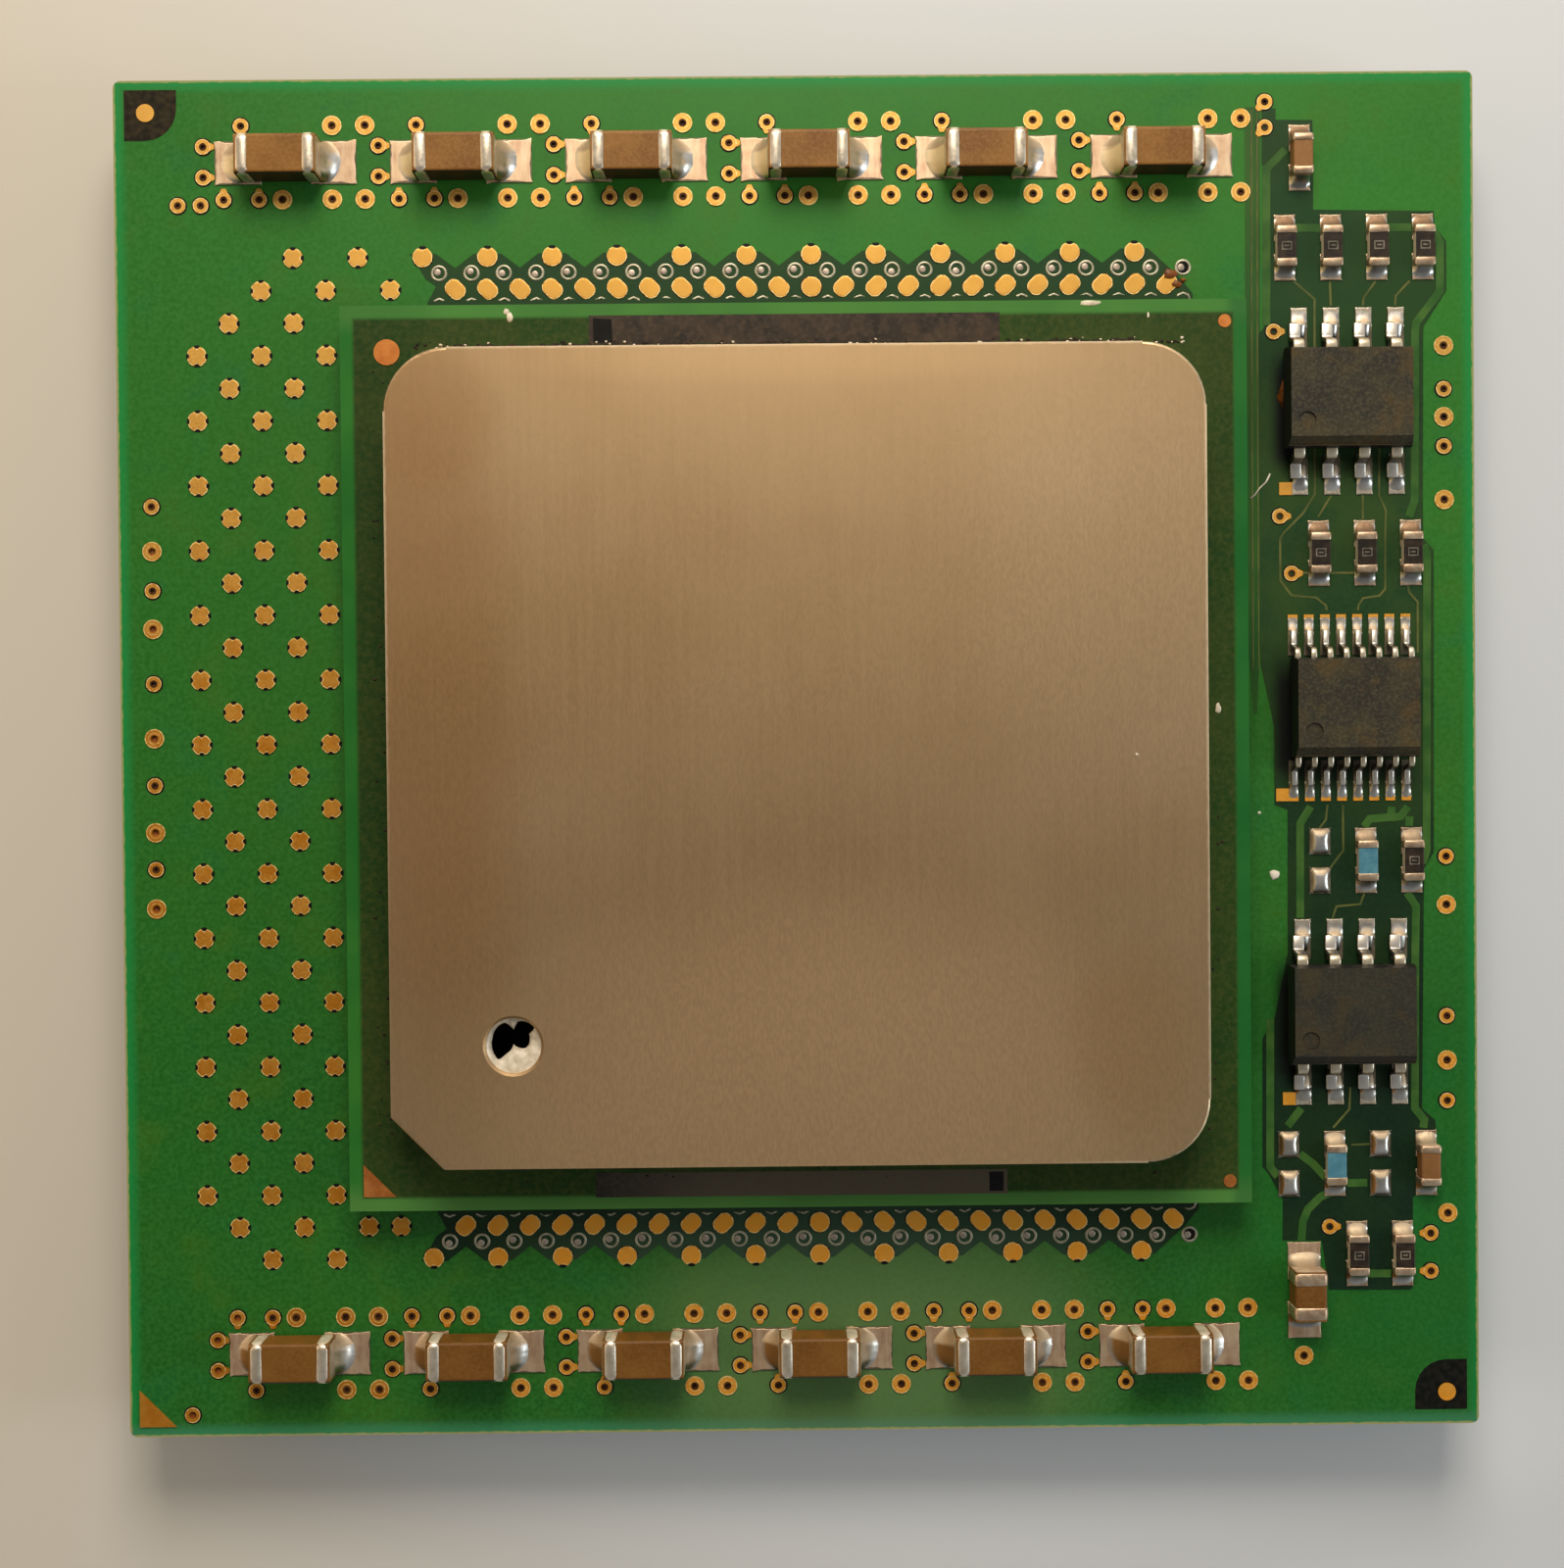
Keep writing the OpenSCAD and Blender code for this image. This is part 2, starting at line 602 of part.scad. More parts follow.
module heat_spreader() {
    hollow_w = spreader_w - 2 * spreader_lip;
    vent = hollow_w / 2 - vent_inset;
    color("tan") translate([package_x, 0, lip_z]) difference() {
        spreader_body();
        translate([0, 0, -cut]) linear_extrude(hollow_top_z - lip_z + cut)
            round_rect(hollow_w, hollow_w, hollow_corner_r);
        translate([-vent, -vent, -cut]) cylinder(d = vent_d, h = spreader_h + 2 * cut);
        translate([-vent, -vent, spreader_h]) rotate_extrude() polygon([[0, -vent_chamfer],
            [vent_d / 2, -vent_chamfer], [vent_d / 2 + vent_chamfer + cut, cut], [0, cut]]);
    }
}

// Ceramic core of a two-ended part along X, inside its metal ends
module ceramic_core(l, w, h) {
    translate([0, 0, end_t])
        soft_block(l - 2 * end_t, w - 2 * end_t, h - 2 * end_t, end_t);
}

// Two metal cups over the ends of a part along X
module metal_ends(l, w, h, end_l) {
    difference() {
        soft_block(l, w, h, 3 * end_t);
        cube([l - 2 * end_l, w + cut, 2 * h + cut], center = true);
        ceramic_core(l, w, h);
    }
}

// Hollow solder fillets against both end faces of a part along X
module end_fillets(l, w, r) {
    for (s = [0, 1]) mirror([s, 0, 0]) translate([l / 2, w / 2, 0]) rotate([90, 0, 0])
        linear_extrude(w) difference() {
            square(r);
            translate([r, r]) circle(r);
        }
}

// Stands a bulk capacitor's piece on its lands
module on_bulk_lands(i) {
    translate([bulk_xy(i)[0] + bulk_x, bulk_xy(i)[1], land_top_z]) children();
}

module bulk_capacitor(i) {
    color("sienna") on_bulk_lands(i) ceramic_core(bulk_l, bulk_w, bulk_h);
}

module bulk_capacitor_ends() {
    color("silver") for (i = [0 : bulk_total - 1])
        on_bulk_lands(i) metal_ends(bulk_l, bulk_w, bulk_h, bulk_end_l);
}

module bulk_capacitor_solder() {
    color("lightgray") for (i = [0 : bulk_total - 1])
        on_bulk_lands(i) end_fillets(bulk_l, bulk_w - 6 * end_t, bulk_fillet_r);
}

// Turns a part along X into one along Y and stands it on its lands
module on_lands(xy) {
    translate([xy[0], xy[1], land_top_z]) rotate(90) children();
}

module chip_resistor(xy) {
    color("black") on_lands(xy) ceramic_core(small_l, small_w, resistor_h);
}

module film_resistor(xy) {
    color("steelblue") on_lands(xy) ceramic_core(small_l, small_w, resistor_h);
}

module filter_capacitor(xy) {
    color("sienna") on_lands(xy) ceramic_core(small_l, small_w, filter_h);
}

module input_capacitor() {
    color("sienna") on_lands(input_xy) ceramic_core(input_l, input_w, input_h);
}

module small_part_ends() {
    color("silver") {
        for (p = concat(resistor_places, film_places)) on_lands(p)
            metal_ends(small_l, small_w, resistor_h, small_end_l);
        for (p = filter_places) on_lands(p) metal_ends(small_l, small_w, filter_h, small_end_l);
        on_lands(input_xy) metal_ends(input_l, input_w, input_h, input_end_l);
    }
}

module small_part_solder() {
    color("lightgray") {
        for (p = small_places) on_lands(p) end_fillets(small_l, small_w - 6 * end_t, small_fillet_r);
        on_lands(input_xy) end_fillets(input_l, input_w - 6 * end_t, input_fillet_r);
    }
}

// Low mound of solder on the lands where no part is fitted
module bare_land_solder() {
    edge = bare_solder_h;
    color("lightgray") for (p = bare_places, s = [-1, 1])
        translate([p[0], p[1] + s * (small_land_gap + small_land_l) / 2, land_top_z]) intersection() {
            translate([0, 0, -bare_solder_h])
                soft_block(small_w - 2 * end_t, small_land_l - 2 * end_t, 2 * bare_solder_h, edge * 0.9);
            linear_extrude(bare_solder_h) square(2 * small_land_l, center = true);
        }
}

// Section of a moulded body: drafted above and below a plain band as thick as the leads
module chip_section(w) {
    rise = (chip_h - lead_t) / 2;
    inset = rise * tan(chip_draft);
    half = w / 2;
    polygon([[inset - half, 0], [half - inset, 0], [half, rise], [half, rise + lead_t],
        [half - inset, chip_h], [inset - half, chip_h], [-half, rise + lead_t], [-half, rise]]);
}

// The same with the upper edge on its -X side cut off
module bevelled_section(w) {
    inset = (chip_h - lead_t) / 2 * tan(chip_draft);
    difference() {
        chip_section(w);
        translate([inset - w / 2, chip_h]) rotate(45) square(chip_bevel * sqrt(2), center = true);
    }
}

module chip_body(chip) {
    dimple_at = chip_w / 2 - dimple_d - chip_bevel;
    color("dimgray") translate([column_mid_x + chip[5], chip[0], chip_bottom_z]) difference() {
        intersection() {
            translate([-chip_l / 2, 0, 0]) rotate([90, 0, 90]) linear_extrude(chip_l)
                bevelled_section(chip_w);
            translate([0, chip_w / 2, 0]) rotate([90, 0, 0]) linear_extrude(chip_w) chip_section(chip_l);
        }
        translate([dimple_d - chip_l / 2, -dimple_at, chip_h - dimple_depth])
            cylinder(d = dimple_d, h = dimple_depth + cut);
    }
}

function bend(centre, r, from, to) = [for (k = [0 : bend_steps])
    let (a = from + (to - from) * k / bend_steps) centre + r * [cos(a), sin(a)]];

// Gull-wing lead from the body's side (x = 0) down to its foot, at heights above z = 0
module lead_section() {
    upper = [lead_shoulder, chip_mid_z - lead_bend_r];
    lower = [lead_toe_bend, foot_z + lead_bend_r];
    outside = lead_bend_r + lead_t / 2;
    inside = lead_bend_r - lead_t / 2;
    polygon(concat([[0, chip_mid_z + lead_t / 2]], bend(upper, outside, 90, 90 - lead_slope),
        bend(lower, inside, 270 - lead_slope, 270), [[lead_reach, foot_z + lead_t / 2]],
        [[lead_reach, foot_z - lead_t / 2]], bend(lower, outside, 270, 270 - lead_slope),
        bend(upper, inside, 90 - lead_slope, 90), [[0, chip_mid_z - lead_t / 2]]));
}

module chip_leads(chip) {
    color("silver") for (n = [0 : chip[1] - 1], s = [-1, 1])
        translate([lead_x(chip, n) + chip[5], chip[0], 0]) rotate(s * 90)
            translate([chip_w / 2, chip[3] / 2, 0]) rotate([90, 0, 0]) linear_extrude(chip[3]) lead_section();
}

// Solder fillet at the toe of every lead, as wide as the lead stands on its land
module lead_solder() {
    color("lightgray") for (chip = chips, n = [0 : chip[1] - 1], s = [-1, 1]) {
        left = max(-chip[4] / 2, chip[5] - chip[3] / 2);
        right = min(chip[4] / 2, chip[5] + chip[3] / 2);
        translate([lead_x(chip, n) + (left + right) / 2, chip[0], land_top_z]) rotate(s * 90)
            translate([lead_span / 2, (right - left) / 2, 0]) rotate([90, 0, 0])
                linear_extrude(right - left) difference() {
                    square(lead_t);
                    translate([lead_t, lead_t]) circle(lead_t);
                }
    }
}

interposer_board();
test_lands();
via_barrels();
component_lands();
first_lead_marks();
board_marks();
package_substrate();
substrate_marks();
solder_joints();
silicon_die();
die_underfill();
thermal_interface();
spreader_sealant();
heat_spreader();
bulk_capacitor_ends();
bulk_capacitor_solder();
input_capacitor();
small_part_ends();
small_part_solder();
lead_solder();
bare_land_solder();
for (i = [0 : len(pin_fields) - 1])
    pins(pin_fields[i]);
for (i = [0 : len(pin_fields) - 1])
    pin_barrels(pin_fields[i]);
for (i = [0 : len(pin_fields) - 1])
    pin_solder(pin_fields[i]);
for (i = [0 : bulk_total - 1])
    bulk_capacitor(i);
for (i = [0 : len(resistor_names) - 1])
    chip_resistor(resistor_places[i]);
for (i = [0 : len(film_names) - 1])
    film_resistor(film_places[i]);
for (i = [0 : len(filter_names) - 1])
    filter_capacitor(filter_places[i]);
for (i = [0 : len(chips) - 1])
    chip_body(chips[i]);
for (i = [0 : len(chips) - 1])
    chip_leads(chips[i]);
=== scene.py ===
import json
import math
import random

import bmesh
import bpy
from mathutils import Matrix, Vector


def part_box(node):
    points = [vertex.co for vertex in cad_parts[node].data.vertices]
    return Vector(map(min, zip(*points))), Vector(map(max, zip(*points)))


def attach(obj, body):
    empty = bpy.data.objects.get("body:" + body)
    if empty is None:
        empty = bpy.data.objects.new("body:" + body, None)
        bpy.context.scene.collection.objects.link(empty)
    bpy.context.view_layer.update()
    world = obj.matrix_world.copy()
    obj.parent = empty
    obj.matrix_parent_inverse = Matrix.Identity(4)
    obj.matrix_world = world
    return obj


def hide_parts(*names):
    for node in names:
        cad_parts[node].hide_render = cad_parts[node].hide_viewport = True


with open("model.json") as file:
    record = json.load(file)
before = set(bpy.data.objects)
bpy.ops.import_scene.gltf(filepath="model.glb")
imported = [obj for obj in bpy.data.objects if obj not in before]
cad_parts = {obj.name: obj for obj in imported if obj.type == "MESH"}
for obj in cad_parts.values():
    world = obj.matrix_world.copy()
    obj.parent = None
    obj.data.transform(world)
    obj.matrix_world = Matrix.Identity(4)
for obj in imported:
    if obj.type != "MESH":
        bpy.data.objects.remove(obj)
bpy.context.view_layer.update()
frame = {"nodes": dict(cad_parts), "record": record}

# Sizes are in millimetres of the row frame, and meshes are scaled to metres when they are made.
MM = 0.001
BODY = "root"


def top_of(node):
    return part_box(node)[1].z / MM


def span(node):
    """Lower and upper corner of a node's box."""
    return [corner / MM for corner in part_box(node)]


BOARD_TOP = top_of("interposer_board")
BOARD_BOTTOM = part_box("interposer_board")[0].z / MM
BOARD_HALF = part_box("interposer_board")[1].x / MM
LAND_TOP = top_of("component_lands")
SUB_TOP = top_of("package_substrate")
SUB_LO, SUB_HI = span("package_substrate")
SUB_MID_X = (SUB_LO.x + SUB_HI.x) / 2
SUB_HALF = (SUB_HI.x - SUB_LO.x) / 2
SPREADER_TOP = top_of("heat_spreader")
PITCH = 1.27

PAINTS = {}
# South and north ends of the shade along each chip.
CHIP_SHADES = ((10.7, 16.3), (-1.5, 4.3), (-13.4, -7.7))


def rgb(r, g, b):
    """Linear colour of an 8-bit display colour."""
    def lin(c):
        c /= 255
        return c / 12.92 if c <= 0.04045 else ((c + 0.055) / 1.055) ** 2.4
    return (lin(r), lin(g), lin(b), 1)


class Nodes:
    """A node tree, with short ways to add to it."""

    def __init__(self, tree):
        self.tree = tree

    def node(self, kind, **settings):
        made = self.tree.nodes.new(kind)
        for name, value in settings.items():
            setattr(made, name, value)
        return made

    def put(self, socket, value):
        if isinstance(value, bpy.types.NodeSocket):
            self.tree.links.new(value, socket)
        else:
            socket.default_value = value

    def axes(self, vector):
        parts = self.node("ShaderNodeSeparateXYZ")
        self.put(parts.inputs[0], vector)
        return [parts.outputs[axis] for axis in "XYZ"]

    def math(self, operation, a, b=0.0):
        made = self.node("ShaderNodeMath", operation=operation)
        self.put(made.inputs[0], a)
        self.put(made.inputs[1], b)
        return made.outputs[0]

    def ramp(self, value, low, high, to_low=0.0, to_high=1.0, kind="SMOOTHSTEP"):
        made = self.node("ShaderNodeMapRange", interpolation_type=kind)
        self.put(made.inputs["Value"], value)
        for name, number in zip(("From Min", "From Max", "To Min", "To Max"), (low, high, to_low, to_high)):
            made.inputs[name].default_value = number
        return made.outputs[0]


class Paint(Nodes):
    """One procedural material. Its textures run over the row frame in millimetres."""

    def __init__(self, name, gloss=0.5, metal=0.0):
        self.mat = PAINTS[name] = bpy.data.materials.new(name)
        self.mat.use_nodes = True
        super().__init__(self.mat.node_tree)
        self.shader = self.tree.nodes["Principled BSDF"].inputs
        self.put(self.shader["Specular IOR Level"], gloss)
        self.put(self.shader["Metallic"], metal)
        scaled = self.node("ShaderNodeVectorMath", operation="SCALE")
        self.put(scaled.inputs[0], self.node("ShaderNodeTexCoord").outputs["Object"])
        self.put(scaled.inputs["Scale"], 1 / MM)
        self.at = scaled.outputs[0]
        self.x, self.y, self.z = self.axes(self.at)

    def coat(self, colour, rough):
        self.put(self.shader["Base Color"], colour)
        self.put(self.shader["Roughness"], rough)

    def noise(self, scale, detail=3.0, stretch=(1, 1, 1), roughness=0.5):
        moved = self.node("ShaderNodeVectorMath", operation="MULTIPLY")
        self.put(moved.inputs[0], self.at)
        self.put(moved.inputs[1], stretch)
        made = self.node("ShaderNodeTexNoise")
        for name, value in (("Vector", moved.outputs[0]), ("Scale", scale), ("Detail", detail),
                            ("Roughness", roughness)):
            self.put(made.inputs[name], value)
        return made.outputs["Fac"]

    def cloud(self, scale, detail=3.0, low=0.3, high=0.7, to_low=0.0, to_high=1.0, **form):
        """Noise with more contrast."""
        return self.ramp(self.noise(scale, detail, **form), low, high, to_low, to_high)

    def plus(self, a, b):
        return self.math("ADD", a, b)

    def less(self, a, b):
        return self.math("SUBTRACT", a, b)

    def times(self, a, b):
        return self.math("MULTIPLY", a, b)

    def larger(self, a, b):
        return self.math("MAXIMUM", a, b)

    def mix(self, factor, a, b):
        """Blend of two colours, each a socket or an 8-bit display colour."""
        made = self.node("ShaderNodeMix", data_type="RGBA")
        self.put(made.inputs[0], factor)
        for socket, colour in ((made.inputs[6], a), (made.inputs[7], b)):
            self.put(socket, rgb(*colour) if isinstance(colour, tuple) else colour)
        return made.outputs[2]

    def layers(self, colour, *coats):
        """Colours laid over one another, each with its share."""
        for share, tint in coats:
            colour = self.mix(share, colour, tint)
        return colour

    def facing(self, axis, low, high, to_low=0.0, to_high=1.0):
        """Ramp over how far a face looks along an axis."""
        normal = self.axes(self.node("ShaderNodeNewGeometry").outputs["Normal"])
        return self.ramp(normal["XYZ".index(axis)], low, high, to_low, to_high)

    def upward(self):
        """1 on faces that look up, 0 on upright ones."""
        return self.facing("Z", 0.35, 0.65)

    def from_edge(self, mid_x, half):
        """Distance in from the sides of a square."""
        x = self.math("ABSOLUTE", self.less(self.x, mid_x))
        return self.less(half, self.larger(x, self.math("ABSOLUTE", self.y)))

    def from_soft_edge(self, node, corner):
        """Distance in from the outline of a node with round corners."""
        lo, hi = span(node)
        legs = []
        for value, low, high in ((self.x, lo.x, hi.x), (self.y, lo.y, hi.y)):
            off = self.math("ABSOLUTE", self.less(value, (low + high) / 2))
            legs.append(self.less(off, (high - low) / 2 - corner))
        inside = self.math("MINIMUM", self.larger(*legs), 0.0)
        out = [self.larger(leg, 0.0) for leg in legs]
        far = self.math("SQRT", self.plus(*(self.times(leg, leg) for leg in out)))
        return self.less(corner, self.plus(far, inside))

    def spot(self, x, y, rx, ry, share):
        """Oval patch that fades out from its middle."""
        dx = self.math("DIVIDE", self.less(self.x, x), rx)
        dy = self.math("DIVIDE", self.less(self.y, y), ry)
        return self.ramp(self.plus(self.times(dx, dx), self.times(dy, dy)), 0.0, 1.0, share, 0)

    def painted_chip_shadow(self):
        """Painted shadow: 1 on the board along the west side of each chip, fading out to the west and at both
        ends.
        """
        ends = 0.0
        for low, high in CHIP_SHADES:
            part = self.times(self.ramp(self.y, low, low + 1.1), self.ramp(self.y, high - 1.8, high, 1, 0))
            ends = self.larger(part, ends)
        across = self.times(self.ramp(self.x, 18.45, 19.1), self.ramp(self.x, 19.6, 20.2, 1, 0))
        return self.times(self.times(across, ends), self.upward())

    def bump(self, height, depth):
        made = self.node("ShaderNodeBump")
        self.put(made.inputs["Distance"], depth * MM)
        self.put(made.inputs["Height"], height)
        self.put(self.shader["Normal"], made.outputs[0])


def board_paints():
    shade = (9, 12, 10)
    p = Paint("board_laminate", 0.24)
    blotch = p.noise(0.4, 4, roughness=0.6)
    grain = p.cloud(6, 3, 0.25, 0.75)
    inset = p.from_edge(0, BOARD_HALF)
    edge_band = p.plus(inset, p.times(p.noise(3, 3), 0.12))
    green = p.layers(
        # Lighter towards the north: painted light falloff.
        p.mix(p.ramp(p.y, -BOARD_HALF, BOARD_HALF), (24, 84, 22), (44, 112, 32)),
        (p.ramp(p.x, -27, -9, 0.6, 0), (18, 88, 18)),
        (p.cloud(0.13, 2, to_high=0.3), (44, 98, 22)),
        (p.ramp(blotch, 0.52, 0.72, 0, 0.4), (62, 100, 18)),
        (p.ramp(blotch, 0.28, 0.48, 0.4, 0), (14, 96, 50)),
        (p.times(grain, 0.45), (52, 122, 46)),
        (p.ramp(inset, 0.12, 0.62, 0.75, 0), (14, 132, 62)),
        (p.spot(24, -17, 12, 14, 0.5), (12, 92, 28)),
        # Pale patch near the south edge: painted sheen.
        (p.spot(2.5, -23.5, 12, 8, 0.55), (100, 120, 78)),
        # Bluish band along the south edge: painted reflection.
        (p.ramp(p.y, -26.5, -26.0, 0.28, 0), (88, 116, 116)),
        (p.painted_chip_shadow(), shade),
        (p.ramp(edge_band, 0.1, 0.17, 0.8, 0), (158, 152, 98)))
    edge = p.mix(p.noise(4, 3, (1, 1, 6)), (58, 104, 38), (142, 132, 70))
    p.coat(p.mix(p.upward(), edge, green), p.ramp(grain, 0, 1, 0.4, 0.5))

    p = Paint("window", 0.22)
    north = p.ramp(p.y, -12, 9)
    dark = p.mix(north, (9, 36, 18), (24, 58, 26))
    pale = p.mix(north, (20, 44, 18), (44, 70, 26))
    p.coat(p.layers(
        p.mix(p.cloud(0.35, 3, 0.35, 0.65), dark, pale),
        (p.cloud(6, 3, 0.3, 0.75, 0, 0.35), p.mix(north, (28, 54, 30), (54, 76, 38))),
        (p.ramp(p.y, 12, 18, 0, 0.6), (26, 60, 28)),
        (p.spot(1, -20.6, 16, 4, 0.9), (50, 74, 54)),
        (p.painted_chip_shadow(), shade)), 0.42)

    p = Paint("strip", 0.25)
    p.coat(p.mix(p.cloud(0.5, stretch=(1, 0.3, 1)), (30, 76, 26), (52, 90, 32)), 0.42)

    p = Paint("mark_window", 0.12)
    north = p.ramp(p.y, -20, 20)
    dark = p.mix(north, (11, 13, 11), (28, 25, 16))
    p.coat(p.mix(p.cloud(4, 3, 0.3, 0.75), dark, p.mix(north, (28, 27, 21), (54, 46, 28))), 0.45)

    p = Paint("relief", 0.2)
    p.coat(p.mix(p.noise(3, 2), (6, 5, 3), (22, 15, 8)), 0.5)

    for name, low, high in (("trace", (40, 84, 28), (62, 100, 38)),
                            ("thin_trace", (66, 78, 34), (98, 100, 50))):
        p = Paint(name, 0.3)
        p.coat(p.mix(p.cloud(1.2), low, high), 0.42)

    p = Paint("substrate_laminate", 0.14)
    tone = p.cloud(0.25)
    border = p.ramp(p.from_edge(SUB_MID_X, SUB_HALF), 0.4, 0.6, 1, 0)
    ends = p.larger(p.ramp(p.y, -17.2, -16.2, 0.35, 0), p.ramp(p.y, 16.2, 17.2, 0, 0.25))
    green = p.layers(
        p.mix(tone, (27, 57, 18), (42, 61, 22)),
        (p.cloud(5, 4, 0.35, 0.72, 0, 0.45, roughness=0.65), (74, 80, 36)),
        (border, p.mix(tone, (31, 100, 36), (50, 116, 43))),
        (p.times(border, ends), (106, 142, 78)),
        (p.times(border, p.ramp(p.x, 16.4, 17.0, 0, 0.45)), (12, 82, 40)))
    p.coat(p.mix(p.upward(), (60, 96, 40), green), 0.45)

    p = Paint("ink", 0.25)
    p.coat(p.layers(
        p.mix(p.cloud(0.6, 3, 0.35, 0.65), (28, 24, 18), (54, 43, 32)),
        (p.ramp(p.y, -8, 0, 0.8, 0), p.mix(p.ramp(p.x, -9, -3), (32, 30, 27), (88, 80, 64))),
        (p.cloud(5, 4, 0.4, 0.7, 0, 0.4), (80, 66, 50))), 0.5)


# Patches on the spreader: middle, half widths, how strong, colour. The small dark ones are stains. The broad
# pale ones to the south, along the north edge and to the east are painted reflection, and the long dark one on
# the west is painted shade.
SPREADER_STAINS_AND_PAINTED_LIGHT = (
    (-13.6, 12.8, 3.0, 3.6, 0.28, (160, 122, 84)), (1.0, -15.0, 17.0, 12.0, 0.75, (226, 189, 143)),
    (12.6, -11.0, 3.2, 4.6, 0.35, (178, 138, 88)), (-13.0, -8.0, 3.0, 8.0, 0.3, (180, 142, 92)),
    (0.0, 15.0, 14.0, 1.2, 0.2, (228, 190, 140)), (13.0, 7.0, 9.0, 12.0, 0.55, (206, 178, 140)),
    (-14.5, 3.0, 5.0, 16.0, 0.45, (158, 113, 66)))


def metal_paints():
    p = Paint("gold", metal=0.75)
    south = p.mix(p.ramp(p.x, -19, -8), (196, 126, 28), (255, 172, 52))
    # Paler towards the north: painted reflection of the key lamp.
    p.coat(p.layers(south, (p.ramp(p.y, -2, 16), (212, 160, 74)), (p.cloud(1.5, to_high=0.35), (232, 180, 86))),
           p.cloud(10, 2, to_low=0.42, to_high=0.54))

    # Paler gold on the raised rims: painted highlight.
    p = Paint("gold_rim", metal=0.6)
    p.coat(p.mix(p.cloud(7, 2, 0.35, 0.6), (210, 154, 74), (250, 216, 146)), 0.5)

    for name, low, high, rough in (
            ("tin", (206, 192, 168), (232, 220, 200), 0.3),
            ("end_tin", (180, 150, 122), (214, 190, 160), 0.32),
            ("dull_land", (96, 88, 72), (130, 118, 98), 0.45),
            ("copper_mark", (186, 112, 52), (206, 134, 70), 0.45)):
        p = Paint(name)
        p.coat(p.mix(p.cloud(2.2), low, high), p.cloud(8, 2, to_low=rough, to_high=rough + 0.12))
        p.put(p.shader["Metallic"], p.facing("Y", 0.4, 0.8, 0.85, 0.25))

    p = Paint("lead_tin", metal=0.8)
    tone = p.mix(p.cloud(2.2), (210, 192, 162), (236, 224, 200))
    tone = p.mix(p.ramp(p.z, 4.32, 4.6, 0.75, 0), tone, (216, 211, 204))
    # Faces that don't look up go dark brown-grey: painted shade.
    p.coat(p.mix(p.facing("Z", 0.3, 0.85), (96, 88, 76), tone), 0.34)

    p = Paint("tarnish", metal=0.8)
    brush = p.cloud(5, 3, 0.35, 0.7, 0, 0.5, stretch=(1, 0.15, 1))
    dull = p.mix(p.cloud(1.6), (194, 156, 126), (216, 186, 150))
    p.coat(p.mix(brush, dull, (232, 212, 182)), 0.45)

    for name, behind in (("solder", (206, 186, 158)), ("part_solder", (152, 124, 98))):
        p = Paint(name, metal=1.0)
        north, west = p.facing("Y", 0.05, 0.25), p.facing("X", -0.6, -0.2, 1, 0)
        colour = p.layers(
            p.mix(p.cloud(1.1, 2), (206, 198, 184), (230, 226, 220)),
            # South-facing faces darker: painted shade.
            (p.facing("Y", -0.6, -0.15, 0.7, 0), (92, 88, 84)),
            # West-facing faces pale in the north and bronze in the south: painted reflection.
            (west, p.mix(p.ramp(p.y, -18, 8), (156, 116, 68), (252, 234, 196))),
            # North-facing faces duller and browner: painted reflection.
            (north, p.mix(p.ramp(p.y, -12, 6), (206, 186, 158), behind)))
        matte = p.times(p.larger(north, west), 0.3)
        p.coat(colour, p.plus(p.cloud(2.5, 2, to_low=0.27, to_high=0.38), matte))

    for name, low, high in (("ring", (158, 152, 128), (196, 188, 164)),
                            ("pin_head", (166, 148, 132), (198, 180, 164))):
        p = Paint(name, metal=0.65)
        # Greyer and darker towards the south: painted shade.
        p.coat(p.mix(p.ramp(p.y, -16, 8, 0.3, 0), p.mix(p.cloud(4), low, high), (104, 112, 98)),
               p.cloud(8, 2, to_low=0.38, to_high=0.5))

    p = Paint("plated_spreader", metal=1.0)
    streak = p.noise(5, 3, (1, 0.03, 1))
    speckle = p.cloud(12, 4, 0.25, 0.75, stretch=(1, 0.3, 1), roughness=0.7)
    edge_band = p.plus(p.from_soft_edge("heat_spreader", 2.4), p.times(p.noise(2, 3), 0.08))
    across = p.larger(p.ramp(p.y, -9, 6, 0.05, 0.5), p.ramp(p.x, 8, 14, 0, 0.8))
    shaded = p.larger(p.facing("X", -0.8, -0.3, 0.7, 0), p.facing("Y", -0.8, -0.3, 0.7, 0))
    colour = p.layers(
        p.mix(p.cloud(0.11), (182, 150, 110), (194, 164, 124)),
        (p.ramp(streak, 0.3, 0.7, 0, 0.25), (204, 173, 131)),
        (p.times(speckle, 0.25), (160, 128, 92)),
        *((p.spot(*patch), tint) for *patch, tint in SPREADER_STAINS_AND_PAINTED_LIGHT),
        # Pale band along the rounded edge, strongest to the north and east: painted highlight.
        (p.times(p.ramp(edge_band, 0.06, 0.16, 1, 0), across), (252, 232, 196)),
        (shaded, (64, 50, 34)))
    p.coat(colour, p.ramp(speckle, 0.2, 0.8, 0.42, 0.46))
    p.bump(p.plus(streak, speckle), 0.0005)


